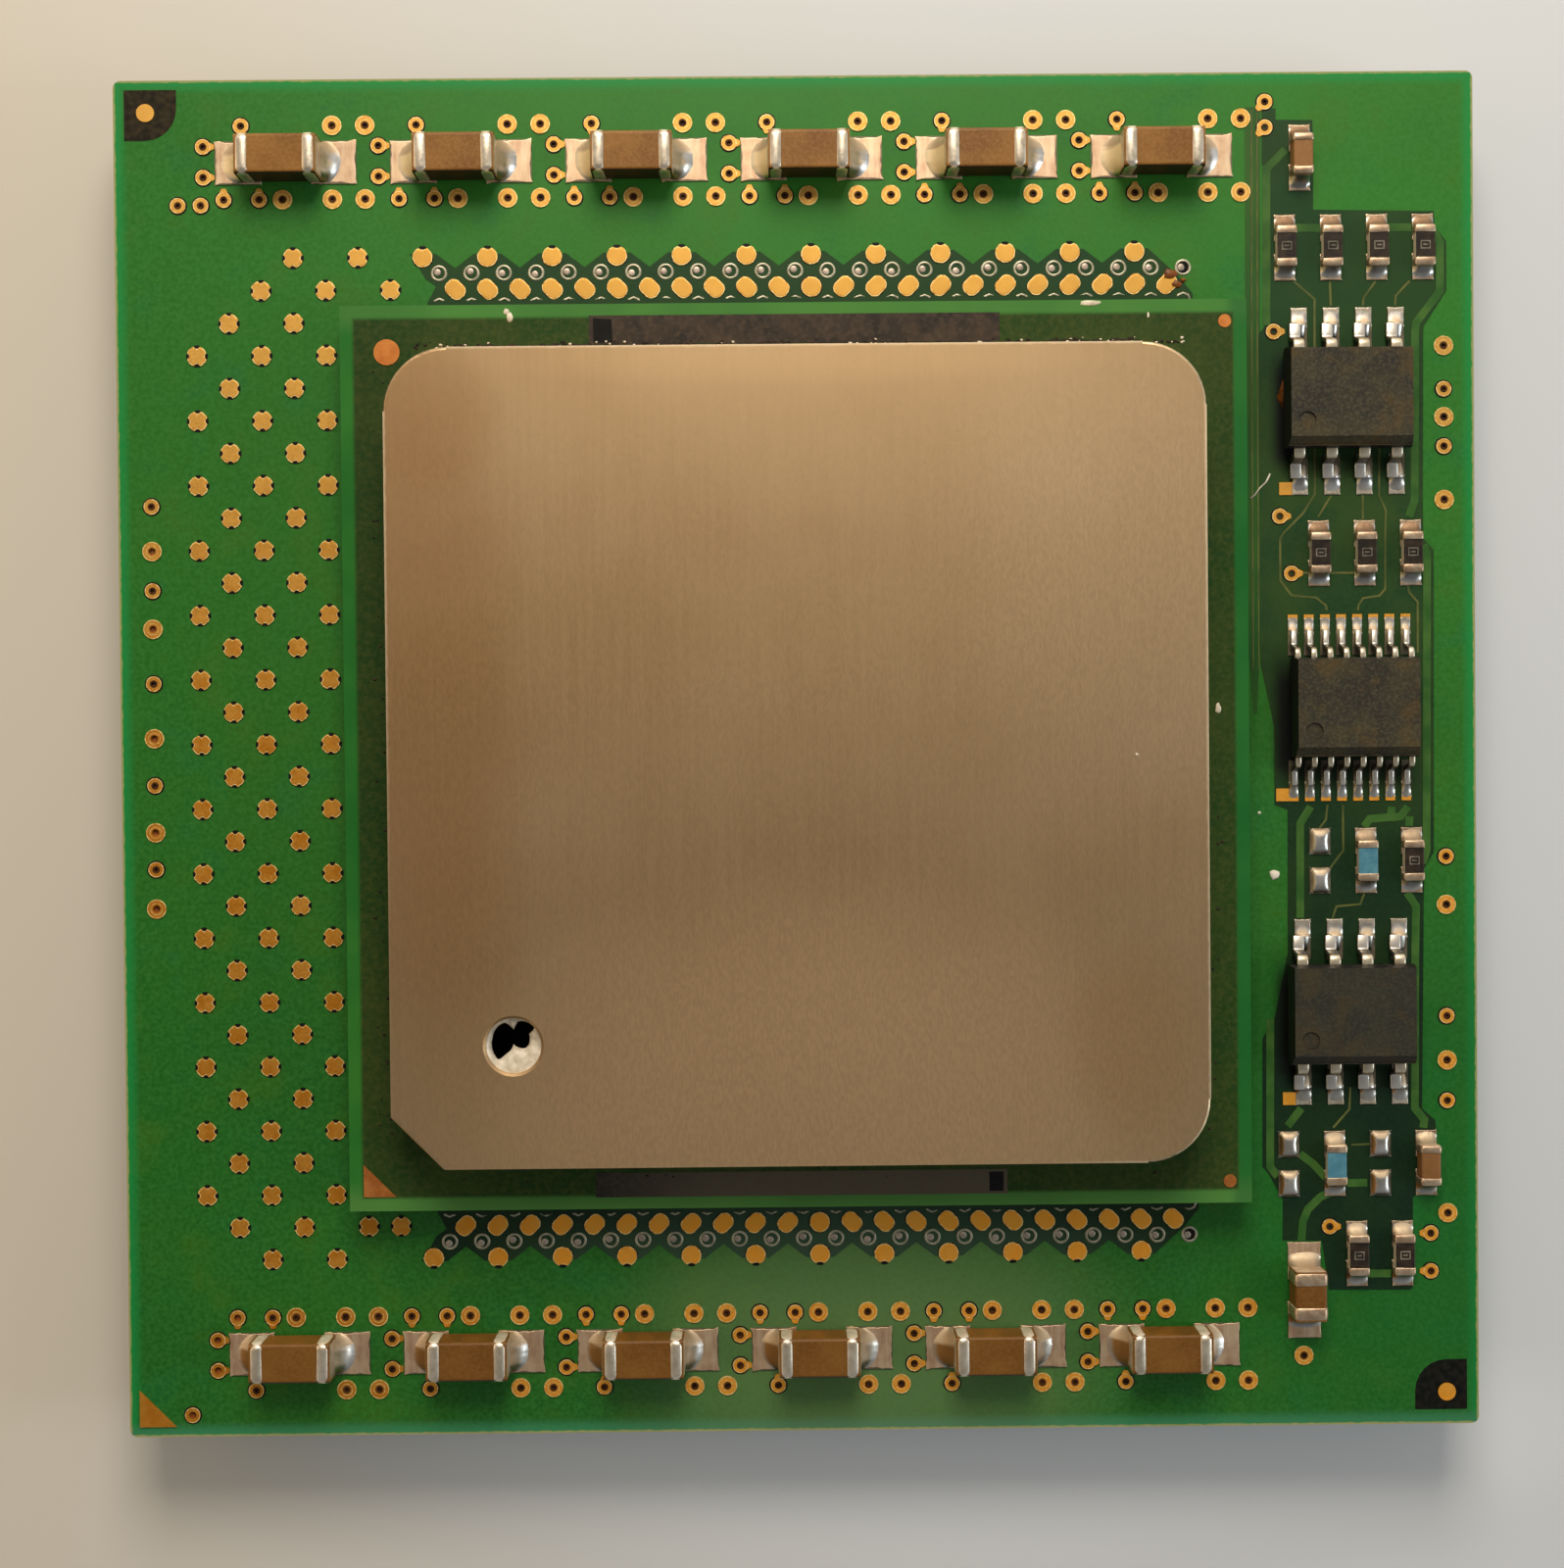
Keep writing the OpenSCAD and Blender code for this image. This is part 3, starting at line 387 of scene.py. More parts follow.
def part_paints():
    for name, low, high, rough, metal in (
            ("silicon", (70, 72, 78), (86, 88, 94), 0.15, 0.6),
            ("underfill", (28, 30, 34), (40, 42, 46), 0.4, 0.0),
            ("interface_metal", (170, 170, 172), (196, 196, 198), 0.35, 1.0),
            ("sealant", (36, 36, 34), (58, 56, 50), 0.7, 0.0),
            ("residue", (186, 174, 150), (226, 216, 198), 0.75, 0.0),
            ("grime", (22, 18, 12), (52, 40, 26), 0.7, 0.0),
            ("flux", (88, 46, 14), (128, 72, 26), 0.35, 0.0),
            ("bore", (88, 50, 20), (150, 92, 40), 0.6, 0.0),
            ("mouth", (40, 24, 10), (88, 52, 22), 0.6, 0.3),
            ("black", (4, 4, 4), (12, 11, 10), 0.8, 0.0),
            ("code", (84, 78, 66), (130, 122, 108), 0.6, 0.0)):
        p = Paint(name, 0.25, metal)
        p.coat(p.mix(p.cloud(3, 4), low, high), rough)

    for name, low, high in (("capacitor_ceramic", (112, 70, 16), (136, 92, 32)),
                            ("pale_ceramic", (132, 90, 50), (152, 110, 70))):
        p = Paint(name, 0.3)
        p.coat(p.layers(
            p.mix(p.cloud(0.5), low, high),
            (p.cloud(8, 3, 0.35, 0.7, 0, 0.3), (160, 116, 62)),
            (p.ramp(p.y, -22, 4, 0.4, 0), (78, 46, 8)),
            # South-facing faces dark: painted shade.
            (p.facing("Y", -0.75, -0.35, 1, 0), (42, 26, 10))), 0.45)

    for name, low, high in (("resistor_glaze", (26, 20, 14), (50, 38, 26)),
                            ("blue_glaze", (64, 116, 136), (84, 134, 148))):
        p = Paint(name, 0.35)
        alumina = p.mix(p.noise(6, 2), (188, 172, 140), (214, 202, 176))
        p.coat(p.mix(p.upward(), alumina, p.mix(p.cloud(3), low, high)), 0.4)

    p = Paint("mould_compound", 0.25)
    grain = p.cloud(8, 3, 0.4, 0.7)
    body = p.layers(
        p.mix(p.cloud(0.7, 3, 0.35, 0.65), (40, 37, 30), (56, 51, 36)),
        (p.cloud(0.8, 3, 0.48, 0.66, 0, 0.6), (80, 62, 26)),
        (p.times(grain, 0.4), (90, 83, 60)),
        (p.ramp(p.y, -9, 0, 0.5, 0), (38, 40, 34)))
    # Side faces near black: painted shade.
    p.coat(p.mix(p.upward(), (20, 18, 16), body), 0.5)
    p.bump(grain, 0.003)


board_paints()
metal_paints()
part_paints()
OWN_PAINTS = {"substrate_marks": "copper_mark", "component_lands": "dull_land"}
for part in frame["record"]["subparts"]:
    slots = frame["nodes"][part["node"]].data.materials
    slots.clear()
    slots.append(PAINTS[OWN_PAINTS.get(part["node"], part["material_slot"])])


def heading(degrees):
    """Cosine and sine of an angle."""
    return math.cos(math.radians(degrees)), math.sin(math.radians(degrees))


def turned(x, y, way, u, v):
    """Point u along a direction from (x, y), and v to its left."""
    return x + way[0] * u - way[1] * v, y + way[1] * u + way[0] * v


def around(x, y, r, n):
    """Corners of a regular polygon."""
    return [(x + r * math.cos(2 * math.pi * k / n), y + r * math.sin(2 * math.pi * k / n)) for k in range(n)]


def level(outline, z):
    return [(x, y, z) for x, y in outline]


def hoops(n, count):
    """Faces between neighbouring loops of n points."""
    return [(j * n + k, j * n + (k + 1) % n, (j + 1) * n + (k + 1) % n, (j + 1) * n + k)
            for j in range(count) for k in range(n)]


def shrunk(outline, by):
    """The outline drawn in towards its middle."""
    cx = sum(p[0] for p in outline) / len(outline)
    cy = sum(p[1] for p in outline) / len(outline)
    loop = []
    for x, y in outline:
        far = math.hypot(x - cx, y - cy)
        keep = max(0.0, far - by) / far
        loop.append((cx + (x - cx) * keep, cy + (y - cy) * keep))
    return loop


class Shape:
    """Collects faces in millimetres, then makes one piece that rides on the part."""

    def __init__(self):
        self.verts = []
        self.faces = []

    def add(self, verts, faces):
        start = len(self.verts)
        self.verts += verts
        self.faces += [tuple(start + i for i in face) for face in faces]

    def skin(self, loops, ends=()):
        """Skin through loops with the same number of points, open where no ends are given."""
        self.add([p for loop in loops for p in loop], [*ends, *hoops(len(loops[0]), len(loops) - 1)])

    def loft(self, loops):
        """Skin that is shut at both ends."""
        n, last = len(loops[0]), len(loops) - 1
        self.skin(loops, [tuple(range(n))[::-1], tuple(last * n + k for k in range(n))])

    def prism(self, outline, low, high):
        """Closed slab with that outline between two heights."""
        area = sum(a[0] * b[1] - b[0] * a[1] for a, b in zip(outline, outline[1:] + outline[:1]))
        if area < 0:
            outline = outline[::-1]
        self.loft([level(outline, low), level(outline, high)])

    def strip(self, line, width, low, high):
        """Slab that follows a line, mitred at its bends."""
        pts = [Vector(p) for p in line]
        left, right = [], []
        for i, p in enumerate(pts):
            before = (p - pts[i - 1]).normalized() if i else (pts[1] - p).normalized()
            after = (pts[i + 1] - p).normalized() if i + 1 < len(pts) else before
            along = (before + after).normalized()
            out = Vector((-along.y, along.x)) * (width / 2 / max(0.5, along.dot(before)))
            left.append(tuple(p + out))
            right.append(tuple(p - out))
        self.prism(left + right[::-1], low, high)

    def disc(self, x, y, r, low, high, n=20):
        self.prism(around(x, y, r, n), low, high)

    def arc(self, x, y, r0, r1, start, sweep, low, high, n=12):
        """Slab between two radii over part of a turn, angles in degrees."""
        turns = [heading(start + sweep * k / n) for k in range(n + 1)]
        outer = [(x + r1 * c, y + r1 * s) for c, s in turns]
        inner = [(x + r0 * c, y + r0 * s) for c, s in turns]
        self.prism(outer + inner[::-1], low, high)

    def ring(self, x, y, r0, r1, low, high, n=24):
        self.lathe(x, y, [(r1, low), (r1, high), (r0, high), (r0, low)], n)

    def lathe(self, x, y, profile, n, base=0.0):
        """Skin of radii and heights about an upright axis, open at both ends."""
        self.skin([level(around(x, y, r, n), base + z) for r, z in profile])

    def field(self, place, nu, nv):
        """Sheet of quads, with place(u, v) giving each corner for u and v from 0 to 1."""
        verts = [place(i / nu, j / nv) for i in range(nu + 1) for j in range(nv + 1)]
        row = nv + 1
        self.add(verts, [(i * row + j, (i + 1) * row + j, (i + 1) * row + j + 1, i * row + j + 1)
                         for i in range(nu) for j in range(nv)])

    def mound(self, outline, low, high, bevel):
        """Flat slab whose upper rim is rounded off. The outline runs anticlockwise round its middle."""
        steps = ((0, low), (0, high - bevel), (0.3 * bevel, high - 0.3 * bevel), (bevel, high),
                 (2.5 * bevel, high))
        self.loft([level(shrunk(outline, by), z) for by, z in steps])

    def rim(self, outline, width, low, high):
        """Thin raised band that follows the inside of an outline."""
        inner = shrunk(outline, width)
        self.skin([level(outline, low), level(outline, high), level(inner, high), level(inner, low)])

    def make(self, name, paint, slot, smooth=False, replaces=()):
        mesh = bpy.data.meshes.new(name)
        mesh.from_pydata([(x * MM, y * MM, z * MM) for x, y, z in self.verts], [], self.faces)
        skin = bmesh.new()
        skin.from_mesh(mesh)
        bmesh.ops.recalc_face_normals(skin, faces=skin.faces)
        skin.to_mesh(mesh)
        skin.free()
        mesh.polygons.foreach_set("use_smooth", [smooth] * len(mesh.polygons))
        mesh.materials.append(PAINTS[paint])
        piece = bpy.data.objects.new(name, mesh)
        bpy.context.scene.collection.objects.link(piece)
        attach(piece, BODY)
        if replaces:
            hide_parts(*replaces)


def shapes(count):
    return [Shape() for _ in range(count)]


# How deep a thin piece reaches into what carries it, and heights over the board: mask openings, breaks in
# the mask, tracks under the mask, tin on the lands.
SINK = 0.004
FOOT = BOARD_TOP - SINK
WINDOW = BOARD_TOP + 0.010
RELIEF = BOARD_TOP + 0.014
TRACE = BOARD_TOP + 0.020
FILM = LAND_TOP + 0.012
FILM_BEVEL = 0.02
QUARTERS = (0, 90, 180, 270)


def lattice(col, row):
    return ((col - 18.5) * PITCH, (15.5 - row) * PITCH)


def pin_places():
    for i in range(25):
        for j in range(31):
            middle = abs(i - 12) <= 6 and abs(j - 15) <= 6
            if not middle and not (i == 0 and j in (0, 29, 30)):
                yield (i - 12) * PITCH, (15 - j) * PITCH


def rectangle(x0, y0, x1, y1):
    return [(x0, y0), (x1, y0), (x1, y1), (x0, y1)]


def soft_rect(half_u, half_v, r, n=5):
    """Outline of a rectangle with round corners, about its middle."""
    points = []
    for k, (su, sv) in enumerate(((1, 1), (-1, 1), (-1, -1), (1, -1))):
        for j in range(n + 1):
            c, s = heading(90 * (k + j / n))
            points.append((su * (half_u - r) + r * c, sv * (half_v - r) + r * s))
    return points


def lobed(x, y, r, notches, depth, half_angle, rnd, n=40):
    """Outline of a round land with shallow bites at some directions, given in degrees."""
    points = []
    for k in range(n):
        a = 360 * k / n
        reach = r + rnd.uniform(-0.01, 0.01)
        for notch in notches:
            off = abs((a - notch + 180) % 360 - 180) / half_angle
            reach -= depth * max(0.0, 1 - off ** 4)
        c, s = heading(a)
        points.append((x + reach * c, y + reach * s))
    return points


def ragged(x0, y0, x1, y1, rnd, spike, wave=0.01, n=9):
    """Outline of a tinned land: wavy sides that pull in between drawn-out corners."""
    corners = rectangle(min(x0, x1), min(y0, y1), max(x0, x1), max(y0, y1))
    points = []
    for k, (ax, ay) in enumerate(corners):
        bx, by = corners[(k + 1) % 4]
        far = math.hypot(bx - ax, by - ay)
        for j in range(n):
            s = j / n
            pull = spike * (math.sin(math.pi * s) ** 0.4 - 0.5) + rnd.uniform(-wave, wave)
            points.append((ax + (bx - ax) * s - (by - ay) / far * pull,
                           ay + (by - ay) * s + (bx - ax) / far * pull))
    return points


COLUMN_WINDOW = [
    (20.37, 24.78), (20.4, 23.86), (20.38, 21.27), (25.12, 21.18), (25.17, 20.6), (25.61, 19.98),
    (25.61, 18.06), (24.7, 16.69), (24.69, 16.4), (24.64, 9.7), (24.65, 8.32), (25.06, 7.87),
    (25.0, -4.03), (24.61, -4.67), (24.5, -7.53), (24.43, -14.19), (25.01, -14.68), (25.07, -15.9),
    (24.58, -17.32), (24.1, -17.69), (24.08, -21.23), (23.97, -21.35), (20.75, -21.32),
    (20.48, -19.36), (18.93, -19.34), (18.94, -17.68), (18.37, -16.67), (18.15, -16.41),
    (18.18, -11.33), (18.67, -10.5), (19.2, -7.95), (19.23, -2.31), (18.72, -2.11), (18.71, 1.03),
    (18.2, 3.4), (18.2, 9.65), (18.2, 16.4), (18.67, 17.02), (18.71, 22.78), (18.36, 23.05),
    (18.38, 25.31), (18.93, 25.24), (18.92, 24.8)]
COLUMN_STRIP = [(17.7, 25.3), (18.32, 25.3), (18.27, 15.9), (18.24, 5.0), (18.05, 1.5), (17.9, 1.5),
                (17.66, 5.0), (17.68, 15.9)]
WIDE_TRACE, THIN_TRACE, STRIP_LINE, GAP_LINE = 0.31, 0.085, 0.05, 0.1
WIDE_TRACES = [
    [(19.3, 23.63), (18.55, 22.88), (18.51, 16.75)],
    [(19.66, 20.56), (20.65, 20.55)],
    [(23.31, 20.55), (24.24, 20.54)],
    [(25.1, 20.43), (25.36, 19.95), (25.35, 18.03), (24.42, 16.83), (24.36, 16.47), (24.31, 9.83),
     (24.08, 9.19)],
    [(24.65, 8.09), (24.79, 7.68), (24.71, -3.96), (24.55, -4.47)],
    [(20.14, -2.19), (19.72, -2.86), (19.7, -6.58)],
    [(23.93, -5.62), (24.28, -6.17), (24.24, -7.92), (24.19, -14.15), (24.56, -14.61), (24.52, -14.93)],
    [(23.34, -2.22), (23.3, -2.63), (22.47, -2.7), (22.24, -3.01)],
    [(23.98, -2.22), (23.69, -2.61), (23.3, -2.65)],
    [(24.04, -2.61), (24.02, -2.99)],
    [(18.49, -10.56), (18.45, -16.41), (18.74, -16.8)],
    [(19.63, -15.91), (20.14, -16.3), (20.65, -16.86)],
    [(19.7, -14.11), (19.15, -14.81)],
    [(21.49, -17.09), (22.29, -17.08)],
    [(21.05, -17.35), (20.43, -17.63), (19.94, -18.1), (19.73, -18.59), (19.67, -19.35)],
    [(22.28, -20.68), (23.21, -20.69)]]
THIN_TRACES = [
    [(19.57, 18.49), (20.42, 17.76), (20.41, 17.58), (20.38, 10.12), (19.91, 9.36), (19.14, 8.6),
     (19.0, 8.37), (19.0, 6.71), (19.44, 6.13), (20.4, 6.04), (20.79, 5.73), (20.82, 5.54)],
    [(21.02, 18.44), (21.05, 17.51)],
    [(22.81, 18.43), (22.35, 17.81), (22.31, 17.5)],
    [(24.16, 18.45), (23.61, 17.87), (23.58, 17.49)],
    [(21.02, 10.05), (20.49, 9.19)],
    [(22.27, 10.04), (22.26, 9.11)],
    [(22.93, 12.2), (22.91, 10.03), (23.17, 9.46), (23.14, 8.33), (23.13, 6.35), (22.9, 6.09),
     (22.26, 6.0), (22.07, 5.72), (22.05, 5.53)],
    [(19.77, 7.02), (21.92, 7.0)],
    [(24.03, 6.47), (24.07, 6.21), (24.41, 5.83), (24.4, 3.84)],
    [(20.8, -2.13), (20.74, -2.71), (20.45, -3.09)],
    [(21.41, -2.14), (21.42, -3.93), (20.98, -4.5), (20.85, -4.7)],
    [(22.24, -5.64), (22.07, -6.06), (21.13, -6.14), (20.97, -6.62)],
    [(21.64, -13.29), (21.6, -14.16), (20.95, -14.89)],
    [(21.66, -15.58), (22.4, -15.55)]]
GAP_LINES = [
    [(25.54, 19.98), (25.55, 18.06), (24.63, 16.63), (24.64, 16.4), (24.6, 12.19)],
    [(24.68, 8.25), (25.01, 7.83), (24.95, -4.03)],
    [(24.55, -4.73), (24.5, -9.09), (24.43, -14.19), (24.97, -14.68)]]


def board_windows():
    """Places where the board has no copper under its mask: they look dark."""
    shape, marks = shapes(2)
    for side in (1, -1):
        outline = []
        for col in range(7, 30, 2):
            outline += [(col - 0.42, -0.1), (col + 0.42, -0.1)]
            if col < 29:
                outline.append((col + 1, 0.34))
        outline += [(30.35, 0.75), (30.8, 1.3), (30.8, 2.4), (7.1, 2.4), (7.14, 1.4), (7.4, 0.9), (7.08, 0.67),
                    (6.7, 0.0)]
        shape.prism([(x, side * y) for x, y in (lattice(*place) for place in outline)], FOOT, WINDOW)
    shape.prism(COLUMN_WINDOW, FOOT, WINDOW)
    wide, deep, r = 2.05, 1.98, 1.25
    for x, y, s in ((-26.24, 26.3, 1), (26.2, -26.1, -1)):
        turns = [heading(15 * k) for k in range(7)]
        outline = [(0, 0), (wide * s, 0), (wide * s, -0.6 * s)]
        outline += [(s * (wide - r + r * cos), -s * (deep - r + r * sin)) for cos, sin in turns]
        marks.prism([(x + u, y + v) for u, v in outline + [(0, -deep * s)]], FOOT, WINDOW)
    shape.make("board_windows", "window", "board_laminate")
    marks.make("mark_windows", "mark_window", "board_laminate")


def traces():
    """Copper tracks under the mask. Each ends a little higher than the one before, so that none lie level."""
    wide, thin, gaps, strip = shapes(4)
    for shape, lines, width, top, step in ((wide, WIDE_TRACES, WIDE_TRACE, TRACE, 0.0006),
                                           (thin, THIN_TRACES, THIN_TRACE, TRACE, 0.0006),
                                           (gaps, GAP_LINES, GAP_LINE, RELIEF, 0.0004)):
        for k, line in enumerate(lines):
            shape.strip(line, width, FOOT, top + step * k)
    for x in (17.93, 18.15):
        thin.strip([(x + 0.05, 25.25), (x, 15.93), (x - 0.02, 3.2)], STRIP_LINE, FOOT, TRACE)
    strip.prism(COLUMN_STRIP, FOOT, WINDOW - 0.002)
    strip.make("trace_strip", "strip", "board_laminate")
    wide.make("wide_traces", "trace", "board_laminate")
    thin.make("thin_traces", "thin_trace", "board_laminate")
    gaps.make("trace_gaps", "window", "board_laminate")


FIELD_ROWS = ((3, 29), (2, 30), (1, 31), (0, 30), (1, 31))
LONE_LANDS = [(5, 0), (6, 1), (5, 30), (6, 30)]
LAND_R = 0.395


def gold_lands():
    """Gold test lands, with the dark breaks in the mask round them."""
    lands, rims, dark = shapes(3)
    rnd = random.Random(2)

    def land(outline):
        lands.mound(outline, FOOT, LAND_TOP, 0.03)
        rims.rim(outline, 0.035, FOOT, LAND_TOP + 0.003)

    def gap(x, y, r0, r1, start, sweep, n):
        dark.arc(x, y, r0, r1, start, sweep, FOOT, RELIEF, n)

    field = [(c, r) for c, (first, last) in enumerate(FIELD_ROWS) for r in range(first, last + 1, 2)]
    for col, row in field + LONE_LANDS:
        x, y = lattice(col, row)
        land(lobed(x, y, LAND_R, QUARTERS, 0.095, 17, rnd))
        for a in QUARTERS:
            gap(x, y, 0.28, 0.44 if a == 90 else 0.425, a - 15, 30, 6)
    for row, out in ((0, 90), (31, 270)):
        for col in range(7, 31, 2):
            x, y = lattice(col, row)
            land(lobed(x, y, LAND_R - 0.005, (out,), 0.09, 22, rnd))
            gap(x, y, 0.3, 0.44, out - 18, 36, 6)
            gap(x, y, 0.35, 0.43, out + 100, 60, 8)
            gap(x, y, 0.35, 0.43, out + 200, 60, 8)
    for row in (1, 30):
        for col in range(8, 31):
            x, y = lattice(col, row)
            if col == 19:
                land(lobed(x, y, LAND_R, (), 0, 1, rnd))
                dark.ring(x, y, 0.36, 0.44, FOOT, RELIEF)
                continue
            lean = -45 if (col < 19) == (row == 1) else 45
            land([turned(x, y, heading(lean), u + rnd.uniform(-0.012, 0.012), v)
                  for u, v in soft_rect(0.415, 0.335, 0.29, 9)])
            for side in (lean + 90, lean - 90):
                c, s = heading(side)
                gap(x - 0.2 * c, y - 0.2 * s, 0.46, 0.57, side - 40, 80, 12)
    lands.make("gold_lands", "gold", "gold", True, ("test_lands",))
    rims.make("land_rims", "gold_rim", "gold")
    dark.make("land_reliefs", "relief", "board_laminate")


BULK_X = [-19.93 + 6.87 * i for i in range(6)]
BULK_Y = 23.42
COLUMN_X = 21.69
VIA_ROW = 1.44
VIA_LEFT = -3.23
LEFT_VIAS_X = -BOARD_HALF + 1.32
RIGHT_VIAS_X = BOARD_HALF - 1.2


def free_vias():
    """Vias that stand free of the copper plane, each with the direction of its gold neck."""
    for side in (1, -1):
        for x in BULK_X:
            for dx, dy, neck in ((-2.44, -VIA_ROW, 90), (-1.05, -VIA_ROW, 90), (-1.74, VIA_ROW, -90),
                                 (VIA_LEFT, 0.64, 0), (VIA_LEFT, -0.56, 0)):
                yield x + dx, side * (BULK_Y + dy), side * neck
    for y in (10, 6.7, 3.05, -0.95, -4.25):
        yield LEFT_VIAS_X, y, None
    for y in (14.2, 11.95, -4.2, -10.5, -13.85):
        yield RIGHT_VIAS_X, y, None
    for dx, y, neck in ((-3.2, 25.5, 225), (-3.2, 24.5, 225), (-2.9, 16.5, 0), (-2.7, 9.25, 0),
                        (-2.25, 7, 0), (-0.9, -18.8, 0), (3.1, -19.1, 180), (3.1, -20.6, 180)):
        yield COLUMN_X + dx, y, neck
    for x in (2.5, 3.4):
        yield -BOARD_HALF + x, BOARD_HALF - 4.9, None
    yield -BOARD_HALF + 2.48, -BOARD_HALF + 0.86, None


def plane_vias():
    for side in (1, -1):
        for x in BULK_X:
            for dx, dy in ((-0.13, -VIA_ROW), (1.82, -VIA_ROW), (3.11, -VIA_ROW), (1.83, VIA_ROW),
                           (3.12, VIA_ROW)):
                yield x + dx, side * (BULK_Y + dy)
    for y in (8.25, 5.2, 0.9, -2.8, -5.8):
        yield LEFT_VIAS_X, y
    for y in (15.9, 13.1, 9.85, -6.1, -12.25, -18.3):
        yield RIGHT_VIAS_X, y
    yield COLUMN_X - 1.95, -23.9


NECK = ((0.2, -0.2), (0.44, -0.08), (0.44, 0.08), (0.2, 0.2))


def via_details():
    """Rims, necks, mouths and filling of the vias, and the gaps in the copper round the free ones."""
    gaps, necks, plugs, rims, mouths = shapes(5)

    def bore(x, y, mouth_r, open_mouth):
        # The dark ring in the top of each hole is painted shade.
        if not open_mouth:
            mouths.ring(x, y, 0.08, mouth_r, LAND_TOP - 0.1, LAND_TOP + 0.003, 16)
        plugs.disc(x, y, 0.16, LAND_TOP - 0.6, LAND_TOP - 0.13, 16)

    for x, y, neck in free_vias():
        rims.ring(x, y, 0.268, 0.304, FOOT, LAND_TOP + 0.004)
        gaps.ring(x, y, 0.28, 0.36, FOOT, RELIEF)
        if neck is not None:
            necks.prism([turned(x, y, heading(neck), u, v) for u, v in NECK], FOOT, LAND_TOP - 0.004)
        bore(x, y, 0.15, x <= -22 and y <= -20)
    for x, y in plane_vias():
        rims.ring(x, y, 0.342, 0.379, FOOT, LAND_TOP + 0.004)
        rims.ring(x, y, 0.215, 0.235, FOOT, LAND_TOP + 0.003)
        bore(x, y, 0.155, x <= -22)
    gaps.make("via_gaps", "relief", "board_laminate")
    necks.make("via_necks", "gold", "gold")
    rims.make("via_rims", "gold_rim", "gold")
    plugs.make("via_plugs", "bore", "board_laminate")
    mouths.make("via_mouths", "mouth", "gold")


# Radii and heights at a pin hole: over the board's top, and the solder at the pin under its bottom.
HIDDEN_RING = ((0.325, -SINK), (0.31, 0.04), (0.232, 0.04), (0.224, -SINK))
SHOWN_RING = ((0.325, -SINK), (0.322, 0.025), (0.3, 0.042), (0.242, 0.045), (0.228, 0.034), (0.224, -SINK))
PIN_HEAD = ((0.138, -SINK), (0.137, 0.026), (0.122, 0.036), (0.06, 0.041), (0.0, 0.041))
PIN_FILLET = ((0.32, SINK), (0.31, -0.02), (0.2, -0.09), (0.15, -0.2))
SHOWN_Y = 18


def pin_holes():
    """Tinned rings at the tops of the pin holes, and solder at the feet of the pins."""
    rings, dark, tips, feet, film, tent = shapes(6)
    rnd = random.Random(5)
    for x, y in pin_places():
        feet.lathe(x, y, PIN_FILLET, 12, BOARD_BOTTOM)
        c, s = heading(rnd.uniform(120, 250))
        if abs(y) <= SHOWN_Y:
            rings.lathe(x, y, HIDDEN_RING, 8, BOARD_TOP)
            continue
        rings.lathe(x, y, SHOWN_RING, 24, BOARD_TOP)
        # Black disc inside each shown ring: painted shade of the gap round the pin.
        dark.disc(x, y, 0.228, FOOT, BOARD_TOP + 0.005)
        tips.lathe(x + 0.08 * c, y + 0.08 * s, PIN_HEAD, 16, BOARD_TOP)
    edge = SUB_HI.y - 0.1
    for side in (1, -1):
        out = [(x / 8, side * (edge + 0.58 + rnd.uniform(-0.06, 0.06))) for x in range(-115, 124)]
        film.prism(out + [(x, side * edge) for x in (15.4, -14.4)], FOOT, BOARD_TOP + 0.05)
    tent.disc(-12 * PITCH, 14 * PITCH, 0.35, FOOT, BOARD_TOP + 0.049, 28)
    film.make("edge_film", "window", "sealant")
    tent.make("tented_hole", "board_laminate", "board_laminate")
    rings.make("pin_hole_rings", "ring", "tin", True, ("north_pin_barrels", "south_pin_barrels"))
    dark.make("pin_hole_bores", "black", "board_laminate")
    tips.make("pin_heads", "pin_head", "gold", True)
    feet.make("pin_fillets", "solder", "solder", True, ("north_pin_solder", "south_pin_solder"))


# Metal cap on the end of a part: how far in from the end face, as a share of the cap's length, and how
# far in from the part's sides, in units of its softness.
CAP_PROFILE = ((1.0, 0.9), (1.0, 0.15), (0.93, -0.05), (0.6, -0.1), (0.35, -0.05), (0.18, 0.18),
               (0.07, 0.5), (0.0, 1.0), (-0.02, 1.9), (-0.025, 3.2))
SKIN = 0.03


def metal_cap(shape, rnd, mid, turn, half_w, half_h, length, soft, corner):
    """mid is the middle of the end face, and turn the direction out of it in degrees."""
    loops = []
    wave = None
    for share, inset in CAP_PROFILE:
        inset *= soft
        outline = soft_rect(half_w - inset, half_h - inset, max(0.3 * corner, corner - inset))
        wave = wave or [rnd.uniform(-0.02, 0.02) for _ in outline]
        loops.append([(*turned(mid.x, mid.y, heading(turn), -share * length + shift * max(0.0, share), v),
                       mid.z + w) for (v, w), shift in zip(outline, wave)])
    shape.loft(loops)


def fillet(shape, rnd, x, y, turn, width, foot, rise, curve=0.66, nu=14, nv=20):
    """Solder fillet against an end face. x and y are the middle of the face, and turn the direction out."""
    sway = rnd.uniform(-0.1, 0.1)
    lap = [rnd.uniform(-0.02, 0.02) for _ in range(nv + 1)]

    def place(a, b):
        t = 2 * b - 1
        front = foot * (1 - curve * abs(t + sway * (1 - t * t)) ** 2.4) + lap[round(b * nv)] * a
        h = rise * (1 - abs(t) ** 3.4) * (0.68 * (1 - a) ** 2.8 + 0.32 * (1 - a))
        spot = turned(x, y, heading(turn), front * a - 0.05 * (1 - a), t * width / 2)
        return (*spot, FILM - 0.003 + h)

    shape.field(place, nu, nv)


def land_film(shape, rnd, x, y, half, near, far, spike):
    """Tin on a land, from near to far along Y."""
    shape.mound(ragged(x - half, y + near, x + half, y + far, rnd, spike), FOOT, FILM, FILM_BEVEL)


